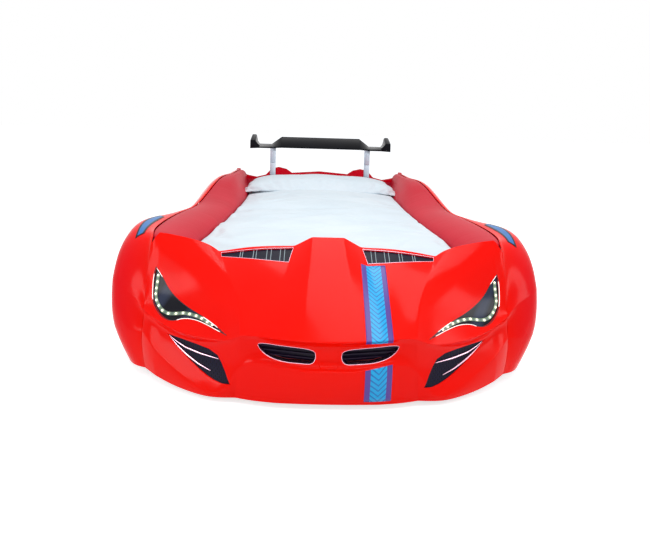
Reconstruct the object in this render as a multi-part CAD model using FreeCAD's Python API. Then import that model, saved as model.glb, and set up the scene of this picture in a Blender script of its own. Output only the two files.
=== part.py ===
# Children's car bed: a slatted single bed in a boarded frame, dressed with glossy moulded car body skins.
# Millimetres. +Z is up, -Y is the nose of the car, +X is the right side seen from in front of the nose.
# The origin is on the floor, in the middle of the bed's length and width.
import FreeCAD
import Part
import math
import os

Vec = FreeCAD.Vector
ALONG_X = Vec(1, 0, 0)
ALONG_Y = Vec(0, 1, 0)
ALONG_Z = Vec(0, 0, 1)

# Mattress and slatted base
MATTRESS_WIDTH = 900.0
MATTRESS_LENGTH = 1900.0
MATTRESS_THICK = 150.0
MATTRESS_EDGE_ROUND = 18.0
BASE_TOP = 200.0
SLAT_THICK = 18.0
SLAT_WIDTH = 70.0
SLAT_COUNT = 14
RAIL_WIDTH = 25.0
RAIL_HEIGHT = 25.0
BEAM_WIDTH = 40.0
BEAM_HEIGHT = 62.0

# Boards that box the mattress in
BOARD = 18.0
BOARD_GAP = 5.0
FOOT_HEIGHT = 18.0
FOOT_RADIUS = 16.0
BRACKET_LEG = 40.0
BRACKET_HEIGHT = 100.0
BRACKET_THICK = 3.0
HEAD_BOARD_TOP = 430.0

# How far the car body reaches past the mattress
NOSE_OVERHANG = 307.5
TAIL_OVERHANG = 37.5
SIDE_OVERHANG = 220.0
HUMP_RISE = 140.0

# Moulded skins
SKIN = 4.0
SEAM = 3.0
FIT_GAP = 0.3
INSERT = 2.2
INSERT_BORDER = 8.0

# Wheels
TYRE_RADIUS = 165.0
TYRE_WIDTH = 95.0
RIM_RADIUS = 112.0
RIM_WALL = 8.0
SPOKE_COUNT = 5
HUB_RADIUS = 28.0
BOLT_CIRCLE = 42.0
BOLT_RADIUS = 6.0
WHEEL_OFF_FLOOR = 3.0
WHEEL_FACE_INSET = 14.0
STUB_RADIUS = 32.0
ARCH_CLEARANCE = 17.0
LINER = 2.5
FRONT_AXLE_BACK = 275.0
REAR_AXLE_AHEAD = 445.0

# Soft pieces
PAD_GAP = 2.2
DUVET_GAP = 3.0

# Rear wing
POST_WIDTH = 34.0
POST_THICK = 10.0
POST_FROM_TIP = 133.0
POST_FOOT_BOTTOM = 405.0
POST_JOINT = 532.0
WING_SPAN = 842.0

# Light switch and socket in the tail
SWITCH_FROM_EDGE = 73.0
SWITCH_Z = 300.0
SWITCH_BODY = (62.0, 40.0)
SWITCH_FLANGE = (74.0, 52.0)
FLANGE_THICK = 1.8
ROCKER_SLOT = (13.0, 21.4)
ROCKER_SIDE_GAP = 0.4
ROCKER_REACH = 9.3
ROCKER_TILT = 8.0
ROCKER_PIN = 1.5
PIN_CLEARANCE = 0.06
SOCKET_RADIUS = 5.6
SOCKET_BORE = 2.8

# Headlight diodes
DIODE_RADIUS = 3.2
STRIP_WIDTH = 7.6
STRIP_THICK = 1.2
TRIM_WIDTH = 1.6

MATTRESS_TOP = BASE_TOP + MATTRESS_THICK
BED_LENGTH = NOSE_OVERHANG + MATTRESS_LENGTH + TAIL_OVERHANG
TAIL_Y = BED_LENGTH / 2
HEAD_Y = TAIL_Y - TAIL_OVERHANG
FOOT_Y = HEAD_Y - MATTRESS_LENGTH
FRONT_AXLE_Y = FOOT_Y + FRONT_AXLE_BACK
REAR_AXLE_Y = HEAD_Y - REAR_AXLE_AHEAD
BOARD_IN = MATTRESS_WIDTH / 2 + BOARD_GAP
BOARD_OUT = BOARD_IN + BOARD
SWITCH_X = BOARD_OUT - SWITCH_FROM_EDGE
AXLE_Z = TYRE_RADIUS + WHEEL_OFF_FLOOR
ARCH_RADIUS = TYRE_RADIUS + ARCH_CLEARANCE

POST_SPREAD = WING_SPAN / 2 - POST_FROM_TIP

# The pads sit above the mattress and above the wheel arches, whichever is higher.
SEAT_LEVEL = max(MATTRESS_TOP, AXLE_Z + ARCH_RADIUS)

# The styling below was drawn round these places; each is moved to where this bed's own sizes put it.
DRAWN_X = (0.0, 450.0, 670.0)
PLACED_X = (0.0, MATTRESS_WIDTH / 2, MATTRESS_WIDTH / 2 + SIDE_OVERHANG)
DRAWN_Y = (-1122.5, -815.0, -540.0, 640.0, 1085.0, 1122.5)
PLACED_Y = (-TAIL_Y, FOOT_Y, FRONT_AXLE_Y, REAR_AXLE_Y, HEAD_Y, TAIL_Y)
DRAWN_Z = (0.0, 200.0, 350.0, 490.0)
PLACED_Z = (0.0, BASE_TOP, SEAT_LEVEL, SEAT_LEVEL + HUMP_RISE)

# Half of the nose skin: rails from the rear edge of the bonnet down to the chin, middle to seam.
BONNET_EDGE = [(0, -790, 416), (50, -790, 416), (104, -790, 387), (225, -793, 385), (334, -802, 367),
               (364, -800, 388), (412, -800, 403), (473, -795, 414), (518, -790, 419), (532, -802, 402),
               (541, -806, 384)]
BONNET_VENT = [(0, -872, 370), (52, -872, 369), (120, -886, 342), (225, -868, 345), (322, -850, 350),
               (352, -848, 362), (412, -848, 366), (470, -842, 362), (512, -836, 356), (531, -832, 346),
               (541, -832, 336)]
BONNET_MIDDLE = [(0, -955, 318), (60, -955, 317), (130, -950, 306), (215, -935, 303), (285, -915, 316),
                 (320, -905, 318), (400, -890, 306), (465, -876, 292), (512, -862, 282), (532, -856, 276),
                 (543, -856, 270)]
BONNET_FRONT = [(0, -1050, 258), (68, -1048, 257), (140, -1040, 251), (208, -1020, 246),
                (248, -1005, 258), (290, -990, 250), (385, -950, 226), (465, -912, 214), (515, -884, 214), (534, -876, 216),
                (544, -874, 216)]
BROW = [(0, -1122, 197), (65, -1120, 198), (135, -1112, 201), (205, -1090, 203), (238, -1080, 196),
        (283, -1056, 171), (360, -1020, 167), (440, -975, 173), (500, -925, 188), (532, -900, 199),
        (546, -886, 205)]
UNDER_BROW = [(0, -1100, 180), (65, -1098, 180), (135, -1091, 183), (205, -1080, 186), (240, -1072, 176),
              (285, -1046, 154), (352, -1006, 146), (432, -956, 150), (497, -908, 170), (532, -888, 182),
              (547, -876, 190)]
RECESS = [(0, -1100, 130), (65, -1098, 131), (135, -1091, 140), (205, -1079, 155), (240, -1070, 132),
          (282, -1048, 105), (345, -1012, 95), (420, -970, 112), (492, -922, 138), (531, -900, 152),
          (547, -884, 156)]
LEDGE = [(0, -1122, 116), (65, -1121, 117), (135, -1113, 124), (205, -1092, 136), (245, -1076, 100),
         (300, -1070, 34), (350, -1052, 42), (428, -1002, 68), (496, -950, 104), (531, -916, 130),
         (548, -894, 140)]
CHIN = [(0, -1124, 75), (65, -1123, 75), (135, -1114, 76), (205, -1094, 76), (245, -1080, 60),
        (300, -1076, 26), (350, -1058, 28), (432, -1008, 40), (498, -958, 60), (528, -928, 76),
        (545, -908, 80)]
CHIN_EDGE = [(0, -1106, 20), (65, -1105, 20), (135, -1101, 20), (200, -1090, 20), (250, -1072, 20),
             (305, -1070, 18), (350, -1052, 16), (430, -1004, 20), (492, -962, 32), (518, -936, 36),
             (532, -920, 37)]
NOSE_RAILS = [BONNET_EDGE, BONNET_VENT, BONNET_MIDDLE, BONNET_FRONT, BROW, UNDER_BROW, RECESS, LEDGE,
              CHIN, CHIN_EDGE]
SHARP_RAILS = {4: 0.10, 7: 0.12}
SHARP_FROM_MIDDLE = {1: 0.15, 2: 0.15, 4: 0.12, 8: 0.2}

# The right side skin: sections from the nose seam to the tail, each from the pad's edge down to the sill.
SIDE_SECTIONS = [
    [(546, -772, 412), (558, -786, 398), (568, -812, 345), (576, -838, 285), (579, -852, 240),
     (580, -864, 205), (578, -876, 165), (575, -884, 135), (562, -896, 82), (545, -908, 36)],
    [(562, -700, 411), (602, -722, 416), (644, -748, 378), (668, -784, 322), (680, -808, 265),
     (682, -824, 215), (673, -842, 165), (658, -854, 132), (622, -878, 82), (580, -897, 34)],
    [(572, -620, 411), (622, -640, 438), (655, -665, 404), (672, -700, 345), (672, -725, 275),
     (670, -735, 220), (668, -745, 165), (664, -752, 125), (655, -765, 80), (638, -770, 26)],
    [(579, -490, 409), (618, -510, 439), (655, -530, 402), (668, -540, 342), (671, -540, 278),
     (669, -540, 222), (667, -540, 165), (664, -540, 125), (660, -540, 82), (645, -540, 24)],
    [(580, -300, 405), (602, -312, 415), (636, -325, 372), (654, -330, 322), (665, -330, 272),
     (658, -330, 225), (655, -330, 170), (661, -330, 120), (663, -330, 80), (648, -330, 22)],
    [(574, -120, 400), (588, -122, 402), (615, -128, 362), (632, -130, 318), (646, -130, 272),
     (622, -130, 228), (624, -130, 172), (654, -130, 118), (660, -130, 80), (642, -130, 20)],
    [(557, 10, 395), (570, 12, 397), (605, 16, 358), (626, 20, 318), (642, 20, 275),
     (616, 20, 230), (618, 20, 172), (654, 20, 118), (660, 20, 80), (642, 20, 20)],
    [(537, 235, 446), (552, 237, 449), (596, 238, 395), (630, 240, 335), (650, 240, 285),
     (625, 240, 235), (626, 240, 175), (655, 240, 118), (660, 240, 80), (642, 240, 20)],
    [(520, 440, 491), (538, 440, 494), (598, 436, 425), (642, 432, 355), (664, 430, 292),
     (658, 430, 235), (655, 430, 172), (661, 430, 120), (663, 430, 80), (648, 430, 22)],
    [(512, 640, 490), (532, 640, 494), (600, 640, 436), (645, 640, 370), (671, 640, 295),
     (669, 640, 235), (667, 640, 170), (664, 640, 125), (660, 640, 82), (645, 640, 24)],
    [(504, 860, 478), (524, 860, 482), (590, 860, 424), (635, 860, 356), (664, 860, 290),
     (662, 860, 232), (659, 860, 170), (658, 860, 125), (653, 860, 82), (636, 860, 26)],
    [(498, 1010, 488), (516, 1010, 492), (568, 1010, 420), (608, 1010, 350), (638, 1010, 285),
     (638, 1010, 230), (636, 1010, 170), (634, 1010, 125), (628, 1010, 82), (612, 1010, 28)],
    [(493, 1098, 487), (506, 1098, 489), (545, 1098, 410), (575, 1098, 340), (598, 1098, 280),
     (602, 1098, 228), (602, 1098, 170), (600, 1098, 125), (592, 1098, 85), (580, 1098, 32)]]

# Outlines of the right-hand openings and inlays
HEADLIGHT_XZ = [(276, 187), (303, 191), (337, 199), (375, 205), (413, 202), (436, 193), (462, 190),
                (487, 196), (508, 211), (521, 230), (524, 257), (524, 299), (517, 325), (491, 297),
                (473, 272), (448, 251), (406, 231), (361, 219), (319, 206)]
DIODES_XZ = [(508, 301), (509, 282), (511, 264), (512, 248), (508, 231), (498, 218), (484, 208),
             (463, 204), (438, 208), (416, 213), (395, 214), (374, 213), (356, 210), (338, 205), (321, 201)]
NOSTRIL_XZ = [(31, 146), (42, 129), (71, 130), (123, 133), (166, 145), (190, 165), (192, 184), (116, 178),
              (37, 172)]
NOSTRIL_PLAN = [(20, -1106), (206, -1085)]
NOSTRIL_BARS_Z = (139, 151, 163)
INTAKE_XZ = [(462, 148.5), (390, 146.5), (309, 135.5), (283, 98.5), (261, 56.5), (300, 60.5), (345, 78.5),
             (400, 108.5)]
INTAKE_BLADES_XZ = [[(272, 76), (330, 92), (400, 124), (396, 130), (328, 99), (276, 83)],
                    [(287, 103), (340, 112), (395, 133), (391, 139), (338, 119), (291, 110)]]
BONNET_VENT_XY = [(106, -798), (118, -864), (324, -830), (328, -809)]
LOUVRES_X = [(133, 146), (174, 187), (219, 228), (261, 268)]
LOUVRES_Y = (-900, -780)
TAB_XY = [(-26, -1105), (26, -1105), (20, -1114), (-20, -1114)]
FENDER_VENT_XY = [(580, -736), (606, -745), (616, -600), (604, -440), (588, -440), (586, -600)]

# Inner edge of each side pad, from the bonnet to the head board: y, x, z
PAD_RAIL = [(-785, 444, 366), (-620, 433, 372), (-250, 408, 380), (120, 392, 388), (440, 388, 398),
            (700, 398, 398), (900, 412, 388), (1085, 428, 376)]
# Duvet from foot to head: y, height of the middle, height of the edge
DUVET_HEIGHTS = [(-783, 366, 360), (-620, 376, 366), (-250, 390, 374), (120, 400, 382), (440, 410, 392),
                 (640, 413, 392), (860, 404, 384), (1060, 394, 370)]
# Pillow across: x, front y, back y, bottom, top
PILLOW_SECTIONS = [(-430, 650, 1015, 440, 450), (-395, 616, 1055, 404, 462), (-280, 606, 1068, 396, 470),
                   (0, 616, 1062, 392, 473), (280, 606, 1068, 396, 470), (395, 616, 1055, 404, 462),
                   (430, 650, 1015, 440, 450)]
# Half of the tail panel's outline, from the middle of the floor edge round to the middle of the top: x, z
TAIL_OUTLINE = [(0, 34), (582, 34), (594, 85), (602, 125), (604, 170), (604, 228), (600, 280), (577, 340),
                (547, 410), (509, 490), (489, 491), (486, 470), (445, 453), (388, 442), (332, 456),
                (296, 495), (252, 506), (205, 495), (171, 472), (0, 485)]
# Wing sections, seen from the side: y, z. The middle blade rises to the back, the outer blade lies flat.
WING_MIDDLE = [(1010, 626), (1007, 634), (1098, 691), (1113, 691), (1113, 682), (1096, 678)]
WING_OUTER = [(1010, 622), (1007, 630), (1098, 646), (1113, 646), (1113, 637), (1096, 634)]
WING_STEPS = (237.0, 298.0)
WING_FIN = [(366, 622), (366, 640), (382, 662), (389, 696), (395, 702), (414, 702), (420, 696), (421, 619)]


def mapped(value, drawn, placed):
    """Moves a drawn coordinate with the nearest two of the drawn places, in proportion between them."""
    size = abs(value)
    sign = -1.0 if value < 0 and drawn[0] == 0.0 else 1.0
    at = size if drawn[0] == 0.0 else value
    for start in range(len(drawn) - 1):
        last = start == len(drawn) - 2
        if at <= drawn[start + 1] or last:
            share = (at - drawn[start]) / (drawn[start + 1] - drawn[start])
            return sign * (placed[start] + share * (placed[start + 1] - placed[start]))


def across(x):
    return mapped(x, DRAWN_X, PLACED_X)


def along(y):
    return mapped(y, DRAWN_Y, PLACED_Y)


def upward(z):
    return mapped(z, DRAWN_Z, PLACED_Z)


def place(point):
    return Vec(across(point[0]), along(point[1]), upward(point[2]))


def box(low, high):
    return Part.makeBox(high[0] - low[0], high[1] - low[1], high[2] - low[2], Vec(*low))


def mirrored(shape):
    return shape.mirror(Vec(0, 0, 0), ALONG_X)


def both_sides(shape):
    return [shape, mirrored(shape)]


def polygon(points):
    return Part.makePolygon(list(points) + [points[0]])


def prism(points, direction):
    """A closed outline carried along a direction."""
    return Part.Face(polygon(points)).extrude(direction)


def widest(shape):
    """The largest solid that a cut left."""
    return max(shape.Solids, key=lambda solid: solid.Volume)


# Control nets

def crease(line, sharp):
    """Puts a near copy of a control point on each side of a sharp one, which draws a tight bend there."""
    creased = []
    for index, point in enumerate(line):
        if index in sharp:
            creased.append(point + (line[index - 1] - point) * sharp[index])
            creased.append(point)
            creased.append(point + (line[index + 1] - point) * sharp[index])
        else:
            creased.append(point)
    return creased


def creased_net(net, sharp_rows, sharp_columns):
    rows = [crease(row, sharp_columns) for row in net]
    columns = [crease(list(column), sharp_rows) for column in zip(*rows)]
    return [list(row) for row in zip(*columns)]


def inward_step(net, row, column):
    """How a control point moves when the faces round it all move one millimetre inwards."""
    point = net[row][column]
    total = Vec(0, 0, 0)
    count = 0
    for down in (-1, 1):
        for aside in (-1, 1):
            if 0 <= row + down < len(net) and 0 <= column + aside < len(net[0]):
                downward = (net[row + down][column] - point) * down
                sideways = (net[row][column + aside] - point) * aside
                total = total + sideways.cross(downward).normalize()
                count += 1
    mean = total * (1.0 / count)
    return mean * (1.0 / max(mean.Length ** 2, 0.4))


def moved_net(net, depth):
    return [[net[row][column] + inward_step(net, row, column) * depth for column in range(len(net[0]))]
            for row in range(len(net))]


def spline_surface(net):
    rows = len(net)
    columns = len(net[0])
    surface = Part.BSplineSurface()
    surface.buildFromPolesMultsKnots(net, [4] + [1] * (rows - 4) + [4], [4] + [1] * (columns - 4) + [4],
                                     [float(knot) for knot in range(rows - 2)],
                                     [float(knot) for knot in range(columns - 2)], False, False, 3, 3)
    return surface


class Skin:
    """A moulded skin drawn by a control net; its depth is 0 on the outside and grows inwards."""

    def __init__(self, net, sharp_rows, sharp_columns):
        self.net = net
        self.sharp_rows = sharp_rows
        self.sharp_columns = sharp_columns
        self.columns = len(net[0]) + 2 * len(sharp_columns)
        self.drawn = {}

    def surface(self, depth):
        if depth not in self.drawn:
            net = creased_net(moved_net(self.net, depth), self.sharp_rows, self.sharp_columns)
            self.drawn[depth] = spline_surface(net)
        return self.drawn[depth].copy()

    def sheet(self, outer_depth, inner_depth, patch=None):
        """The solid between two depths, over the whole skin or a patch of it."""
        outer = self.surface(outer_depth)
        inner = self.surface(inner_depth)
        if patch:
            outer.segment(*patch)
            inner.segment(*patch)
        u_low, u_high, v_low, v_high = outer.bounds()
        faces = [outer.toShape(), inner.toShape()]
        for at in (u_low, u_high):
            faces.append(Part.makeRuledSurface(outer.uIso(at).toShape(), inner.uIso(at).toShape()))
        for at in (v_low, v_high):
            faces.append(Part.makeRuledSurface(outer.vIso(at).toShape(), inner.vIso(at).toShape()))
        shell = Part.makeShell(faces)
        shell.sewShape()
        solid = Part.makeSolid(shell)
        if solid.Volume < 0:
            solid.reverse()
        return solid

    def reach(self, depth, through, direction):
        """The farthest place along a direction where a straight line meets the skin at a depth."""
        hits = self.surface(depth).intersect(Part.Line(through, through + direction))[0]
        places = [Vec(hit.X, hit.Y, hit.Z) for hit in hits]
        return max(places, key=lambda spot: spot.dot(direction))


def nose_net():
    net = []
    for rail in NOSE_RAILS:
        right = [place(point) for point in rail]
        left = [Vec(-point.x, point.y, point.z) for point in reversed(right[1:])]
        net.append(left + right)
    return net


def side_net():
    """The seam section follows the nose skin's edge, one seam's width behind it."""
    seam = [place(rail[-1]) + Vec(SEAM, SEAM, 0) for rail in NOSE_RAILS]
    sections = [seam] + [[place(point) for point in section] for section in SIDE_SECTIONS]
    return [list(row) for row in zip(*sections)]


MIDDLE = len(BROW) - 1
NOSE_SHARP_COLUMNS = {}
for steps, tightness in SHARP_FROM_MIDDLE.items():
    NOSE_SHARP_COLUMNS[MIDDLE - steps] = tightness
    NOSE_SHARP_COLUMNS[MIDDLE + steps] = tightness
NOSE = Skin(nose_net(), SHARP_RAILS, NOSE_SHARP_COLUMNS)
SIDE = Skin(side_net(), SHARP_RAILS, {})

# Patches of the right half of the nose skin: between which rails, and between which columns
NOSE_MIDDLE_COLUMN = (NOSE.columns - 1) / 2 - 1
BEHIND_LIGHT = (0.5, 6.5, NOSE_MIDDLE_COLUMN + 5, NOSE.columns - 3)
BEHIND_INTAKE = (4.0, 10.0, NOSE_MIDDLE_COLUMN + 5, NOSE.columns - 3)
BEHIND_VENT = (0.0, 2.0, NOSE_MIDDLE_COLUMN + 1.5, NOSE_MIDDLE_COLUMN + 11)
ON_FENDER = (0.0, 3.0, 0.0, 6.0)
ON_LEDGE = (6.5, 9.5, NOSE_MIDDLE_COLUMN - 3, NOSE_MIDDLE_COLUMN + 3)
FAR = 400.0


def facing_nose(outline):
    """A prism that runs back from ahead of the nose through an outline seen from the front."""
    return prism([Vec(across(x), -TAIL_Y - FAR / 2, upward(z)) for x, z in outline], Vec(0, 3 * FAR, 0))


def grown(outline, margin):
    """An outline with each side moved out by a margin, drawn in the plane of its two coordinates."""
    wire = polygon([Vec(a, b, 0) for a, b in outline])
    offset = wire.makeOffset2D(margin, 0, False, False, False)
    return [(vertex.X, vertex.Y) for vertex in offset.OrderedVertexes]


def facing_up(outline):
    return prism([Vec(across(x), along(y), upward(0)) for x, y in outline], Vec(0, 0, 2 * FAR))


def band(outline, outside, inside):
    """The prism of a frame that runs along the inside of an outline."""
    return facing_nose(grown(outline, -outside)).cut(facing_nose(grown(outline, -inside)))


# Moulded skins

def front_shell():
    openings = []
    for outline in (HEADLIGHT_XZ, NOSTRIL_XZ, INTAKE_XZ):
        openings += both_sides(facing_nose(outline))
    openings += both_sides(facing_up(BONNET_VENT_XY))
    return widest(NOSE.sheet(0, SKIN).cut(openings))


def arch_cutter(radius, axle_y):
    """A wheel arch: round above the axle, straight down to below the sill."""
    x_from = BOARD_OUT + STUB_RADIUS
    start = Vec(x_from, axle_y, AXLE_Z)
    drum = Part.makeCylinder(radius, FAR, start, ALONG_X)
    legs = box((x_from, axle_y - radius, -FAR), (x_from + FAR, axle_y + radius, AXLE_Z))
    return drum.fuse(legs)


def side_skin():
    arches = [arch_cutter(ARCH_RADIUS, axle_y) for axle_y in (FRONT_AXLE_Y, REAR_AXLE_Y)]
    return widest(SIDE.sheet(0, SKIN).cut(arches))


def tail_outline():
    right = [(across(x), upward(z)) for x, z in TAIL_OUTLINE]
    left = [(-x, z) for x, z in reversed(right[1:-1])]
    return right + left


HEAD_BOARD_IN = HEAD_Y + BOARD_GAP
HEAD_BOARD_OUT = HEAD_BOARD_IN + BOARD
FOOT_BOARD_IN = FOOT_Y - BOARD_GAP
FOOT_BOARD_OUT = FOOT_BOARD_IN - BOARD
HEAD_BOARD_CREST = upward(HEAD_BOARD_TOP)


def rear_skin():
    """A crowned panel over the head board, with a cap that turns forward over the board's top edge."""
    to_tail = Vec(0, TAIL_Y - HEAD_BOARD_OUT, 0)
    panel = prism([Vec(x, HEAD_BOARD_OUT, z) for x, z in tail_outline()], to_tail)
    half = across(485)
    over_board = Vec(0, HEAD_BOARD_OUT - HEAD_BOARD_IN, 0)
    cap = prism([Vec(x, HEAD_BOARD_IN, z) for x, z in tail_outline()], over_board)
    cap = cap.common(box((-half, 0, HEAD_BOARD_CREST), (half, TAIL_Y, 2 * FAR)))
    return panel.fuse(cap).removeSplitter().cut([switch_pocket(), switch_hole()])


# Switch and socket

def switch_hole():
    return switch_block(SWITCH_BODY, HEAD_BOARD_IN - 1, TAIL_Y + 1)


def switch_pocket():
    return switch_block(SWITCH_FLANGE, TAIL_Y - FLANGE_THICK - FIT_GAP, TAIL_Y + 1)


def switch_block(size, y_from, y_to):
    half_x = size[0] / 2 + FIT_GAP
    half_z = size[1] / 2 + FIT_GAP
    low = (SWITCH_X - half_x, y_from, SWITCH_Z - half_z)
    return box(low, (SWITCH_X + half_x, y_to, SWITCH_Z + half_z))


ROCKER_X = SWITCH_X - SWITCH_BODY[0] / 4
SOCKET_X = SWITCH_X + SWITCH_BODY[0] / 4
FLANGE_Y = TAIL_Y - FIT_GAP
ROCKER_AXIS_Y = FLANGE_Y - 8.0
ROCKER_CREST = 4.4
PIN_REACH = 2.2
SOCKET_DEPTH = 14.0
BORE_DEPTH = 10.0
BOX_DEPTH = TAIL_Y - HEAD_BOARD_IN - 2.0


def control_box():
    body = box((SWITCH_X - SWITCH_BODY[0] / 2, FLANGE_Y - BOX_DEPTH, SWITCH_Z - SWITCH_BODY[1] / 2),
               (SWITCH_X + SWITCH_BODY[0] / 2, FLANGE_Y, SWITCH_Z + SWITCH_BODY[1] / 2))
    rim_x = SWITCH_FLANGE[0] / 2
    rim_z = SWITCH_FLANGE[1] / 2
    flange = box((SWITCH_X - rim_x, FLANGE_Y - FLANGE_THICK, SWITCH_Z - rim_z),
                 (SWITCH_X + rim_x, FLANGE_Y, SWITCH_Z + rim_z))
    half_x = ROCKER_SLOT[0] / 2
    half_z = ROCKER_SLOT[1] / 2
    slot = box((ROCKER_X - half_x, ROCKER_AXIS_Y - half_z, SWITCH_Z - half_z),
               (ROCKER_X + half_x, TAIL_Y + 1, SWITCH_Z + half_z))
    pin_end = half_x + PIN_REACH + FIT_GAP
    pin_hole = Part.makeCylinder(ROCKER_PIN + PIN_CLEARANCE, 2 * pin_end,
                                 Vec(ROCKER_X - pin_end, ROCKER_AXIS_Y, SWITCH_Z), ALONG_X)
    socket_seat = Part.makeCylinder(SOCKET_RADIUS + FIT_GAP, SOCKET_DEPTH,
                                    Vec(SOCKET_X, FLANGE_Y - SOCKET_DEPTH, SWITCH_Z), ALONG_Y)
    return body.fuse(flange).removeSplitter().cut([slot, pin_hole, socket_seat])


def rocker_switch():
    """A shallow V on a round heel, tipped to its off side, with a pin at each end of its axis."""
    width = ROCKER_SLOT[0] - 2 * ROCKER_SIDE_GAP
    x_from = ROCKER_X - width / 2
    axis = Vec(ROCKER_X, ROCKER_AXIS_Y, SWITCH_Z)
    start = Vec(x_from, ROCKER_AXIS_Y, SWITCH_Z)
    valley = ROCKER_CREST - 1.3
    belly = 3.0
    lip = 1.0
    profile = [(ROCKER_CREST, -ROCKER_REACH), (valley, 0), (ROCKER_CREST, ROCKER_REACH),
               (lip, ROCKER_REACH), (-ROCKER_CREST, belly), (-ROCKER_CREST, -belly), (lip, -ROCKER_REACH)]
    paddle = prism([start + Vec(0, out, rise) for out, rise in profile], Vec(width, 0, 0))
    heel = Part.makeCylinder(ROCKER_CREST + 1.5, width, start, ALONG_X)
    below = box((x_from - 1, ROCKER_AXIS_Y - FAR, SWITCH_Z - FAR),
                (x_from + width + 1, ROCKER_AXIS_Y + lip, SWITCH_Z + FAR))
    pin_end = ROCKER_SLOT[0] / 2 + PIN_REACH
    pins = Part.makeCylinder(ROCKER_PIN, 2 * pin_end, axis - Vec(pin_end, 0, 0), ALONG_X)
    rocker = paddle.fuse([heel.common(below), pins]).removeSplitter()
    rocker.rotate(axis, ALONG_X, ROCKER_TILT)
    return rocker


def dc_inlet():
    back = Vec(SOCKET_X, FLANGE_Y - SOCKET_DEPTH, SWITCH_Z)
    barrel = Part.makeCylinder(SOCKET_RADIUS, SOCKET_DEPTH - FIT_GAP, back, ALONG_Y)
    bore_end = Vec(SOCKET_X, FLANGE_Y - BORE_DEPTH, SWITCH_Z)
    bore = Part.makeCylinder(SOCKET_BORE, BORE_DEPTH, bore_end, ALONG_Y)
    return barrel.cut(bore)


# Boards and base

SIDE_BOARD_TOP = SEAT_LEVEL + 0.7


def side_board():
    return box((BOARD_IN, FOOT_BOARD_IN, FOOT_HEIGHT), (BOARD_OUT, HEAD_BOARD_IN, SIDE_BOARD_TOP))


def under_nose(depth, fixed, start, end, count, along_y):
    """Heights just under the nose skin over a strip, taking the lower of the strip's two faces."""
    heights = []
    for step in range(count + 1):
        moving = start + (end - start) * step / count
        spots = [(face, moving) if along_y else (moving, face) for face in fixed]
        heights.append((moving, min(NOSE.reach(depth, Vec(x, y, 0), ALONG_Z).z for x, y in spots)))
    return heights


UNDER_INSERTS = SKIN + INSERT + 6 * FIT_GAP


def foot_board():
    """Its top edge follows the underside of the bonnet and of the vents' trays."""
    faces = (FOOT_BOARD_OUT, FOOT_BOARD_IN)
    heights = under_nose(UNDER_INSERTS, faces, 0, BOARD_OUT, 32, False)
    right = [(x, min(z, SIDE_BOARD_TOP)) for x, z in heights]
    left = [(-x, z) for x, z in reversed(right[1:])]
    outline = left + right + [(BOARD_OUT, FOOT_HEIGHT), (-BOARD_OUT, FOOT_HEIGHT)]
    return prism([Vec(x, FOOT_BOARD_OUT, z) for x, z in outline], Vec(0, BOARD, 0))


def head_board():
    board = box((-BOARD_OUT, HEAD_BOARD_IN, FOOT_HEIGHT),
                (BOARD_OUT, HEAD_BOARD_OUT, HEAD_BOARD_CREST))
    return board.cut(switch_hole())


RIB_X = across(230)
RIB_LENGTH = 202.0
RIB_BOTTOM = 40.0
RIB_FRONT_Y = FOOT_BOARD_OUT - RIB_LENGTH
VENT_ROOM = 62.0
RIB_STEP = 40.0


def bonnet_rib():
    """A board on edge that runs forward from the foot board and carries the bonnet ahead of its vent."""
    faces = (RIB_X - BOARD / 2, RIB_X + BOARD / 2)
    heights = under_nose(SKIN + FIT_GAP, faces, FOOT_BOARD_OUT - VENT_ROOM, RIB_FRONT_Y, 8, True)
    rear_top = heights[0][1] - RIB_STEP
    outline = [(FOOT_BOARD_OUT, RIB_BOTTOM), (FOOT_BOARD_OUT, rear_top), (heights[0][0], rear_top)]
    outline += heights + [(RIB_FRONT_Y, RIB_BOTTOM)]
    return prism([Vec(faces[0], y, z) for y, z in outline], Vec(BOARD, 0, 0))


def bumper_rail():
    """A batten across the front ends of the ribs, behind the chin."""
    return box((-RIB_X - BOARD, RIB_FRONT_Y - BOARD, RIB_BOTTOM),
               (RIB_X + BOARD, RIB_FRONT_Y, 3 * RIB_BOTTOM))


SLAT_BOTTOM = BASE_TOP - SLAT_THICK


def slat_rail():
    return box((BOARD_IN - RAIL_WIDTH, FOOT_Y, SLAT_BOTTOM - RAIL_HEIGHT),
               (BOARD_IN, HEAD_Y, SLAT_BOTTOM))


def slats():
    pitch = (MATTRESS_LENGTH - SLAT_WIDTH) / (SLAT_COUNT - 1)
    reach = BOARD_IN - FIT_GAP
    laid = []
    for number in range(SLAT_COUNT):
        start = FOOT_Y + number * pitch
        laid.append(box((-reach, start, SLAT_BOTTOM), (reach, start + SLAT_WIDTH, BASE_TOP)))
    return laid


def centre_beam():
    return box((-BEAM_WIDTH / 2, FOOT_BOARD_IN, SLAT_BOTTOM - BEAM_HEIGHT),
               (BEAM_WIDTH / 2, HEAD_BOARD_IN, SLAT_BOTTOM))


def centre_legs():
    legs = []
    for share in (0.25, 0.5, 0.75):
        middle = FOOT_Y + share * MATTRESS_LENGTH
        half = BEAM_WIDTH / 2
        legs.append(box((-half, middle - half, 0), (half, middle + half, SLAT_BOTTOM - BEAM_HEIGHT)))
    return legs


def feet():
    discs = []
    for share in (0.04, 0.35, 0.65, 0.96):
        y = FOOT_Y + share * MATTRESS_LENGTH
        disc = Part.makeCylinder(FOOT_RADIUS, FOOT_HEIGHT, Vec((BOARD_IN + BOARD_OUT) / 2, y, 0))
        discs += both_sides(disc)
    return discs


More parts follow.
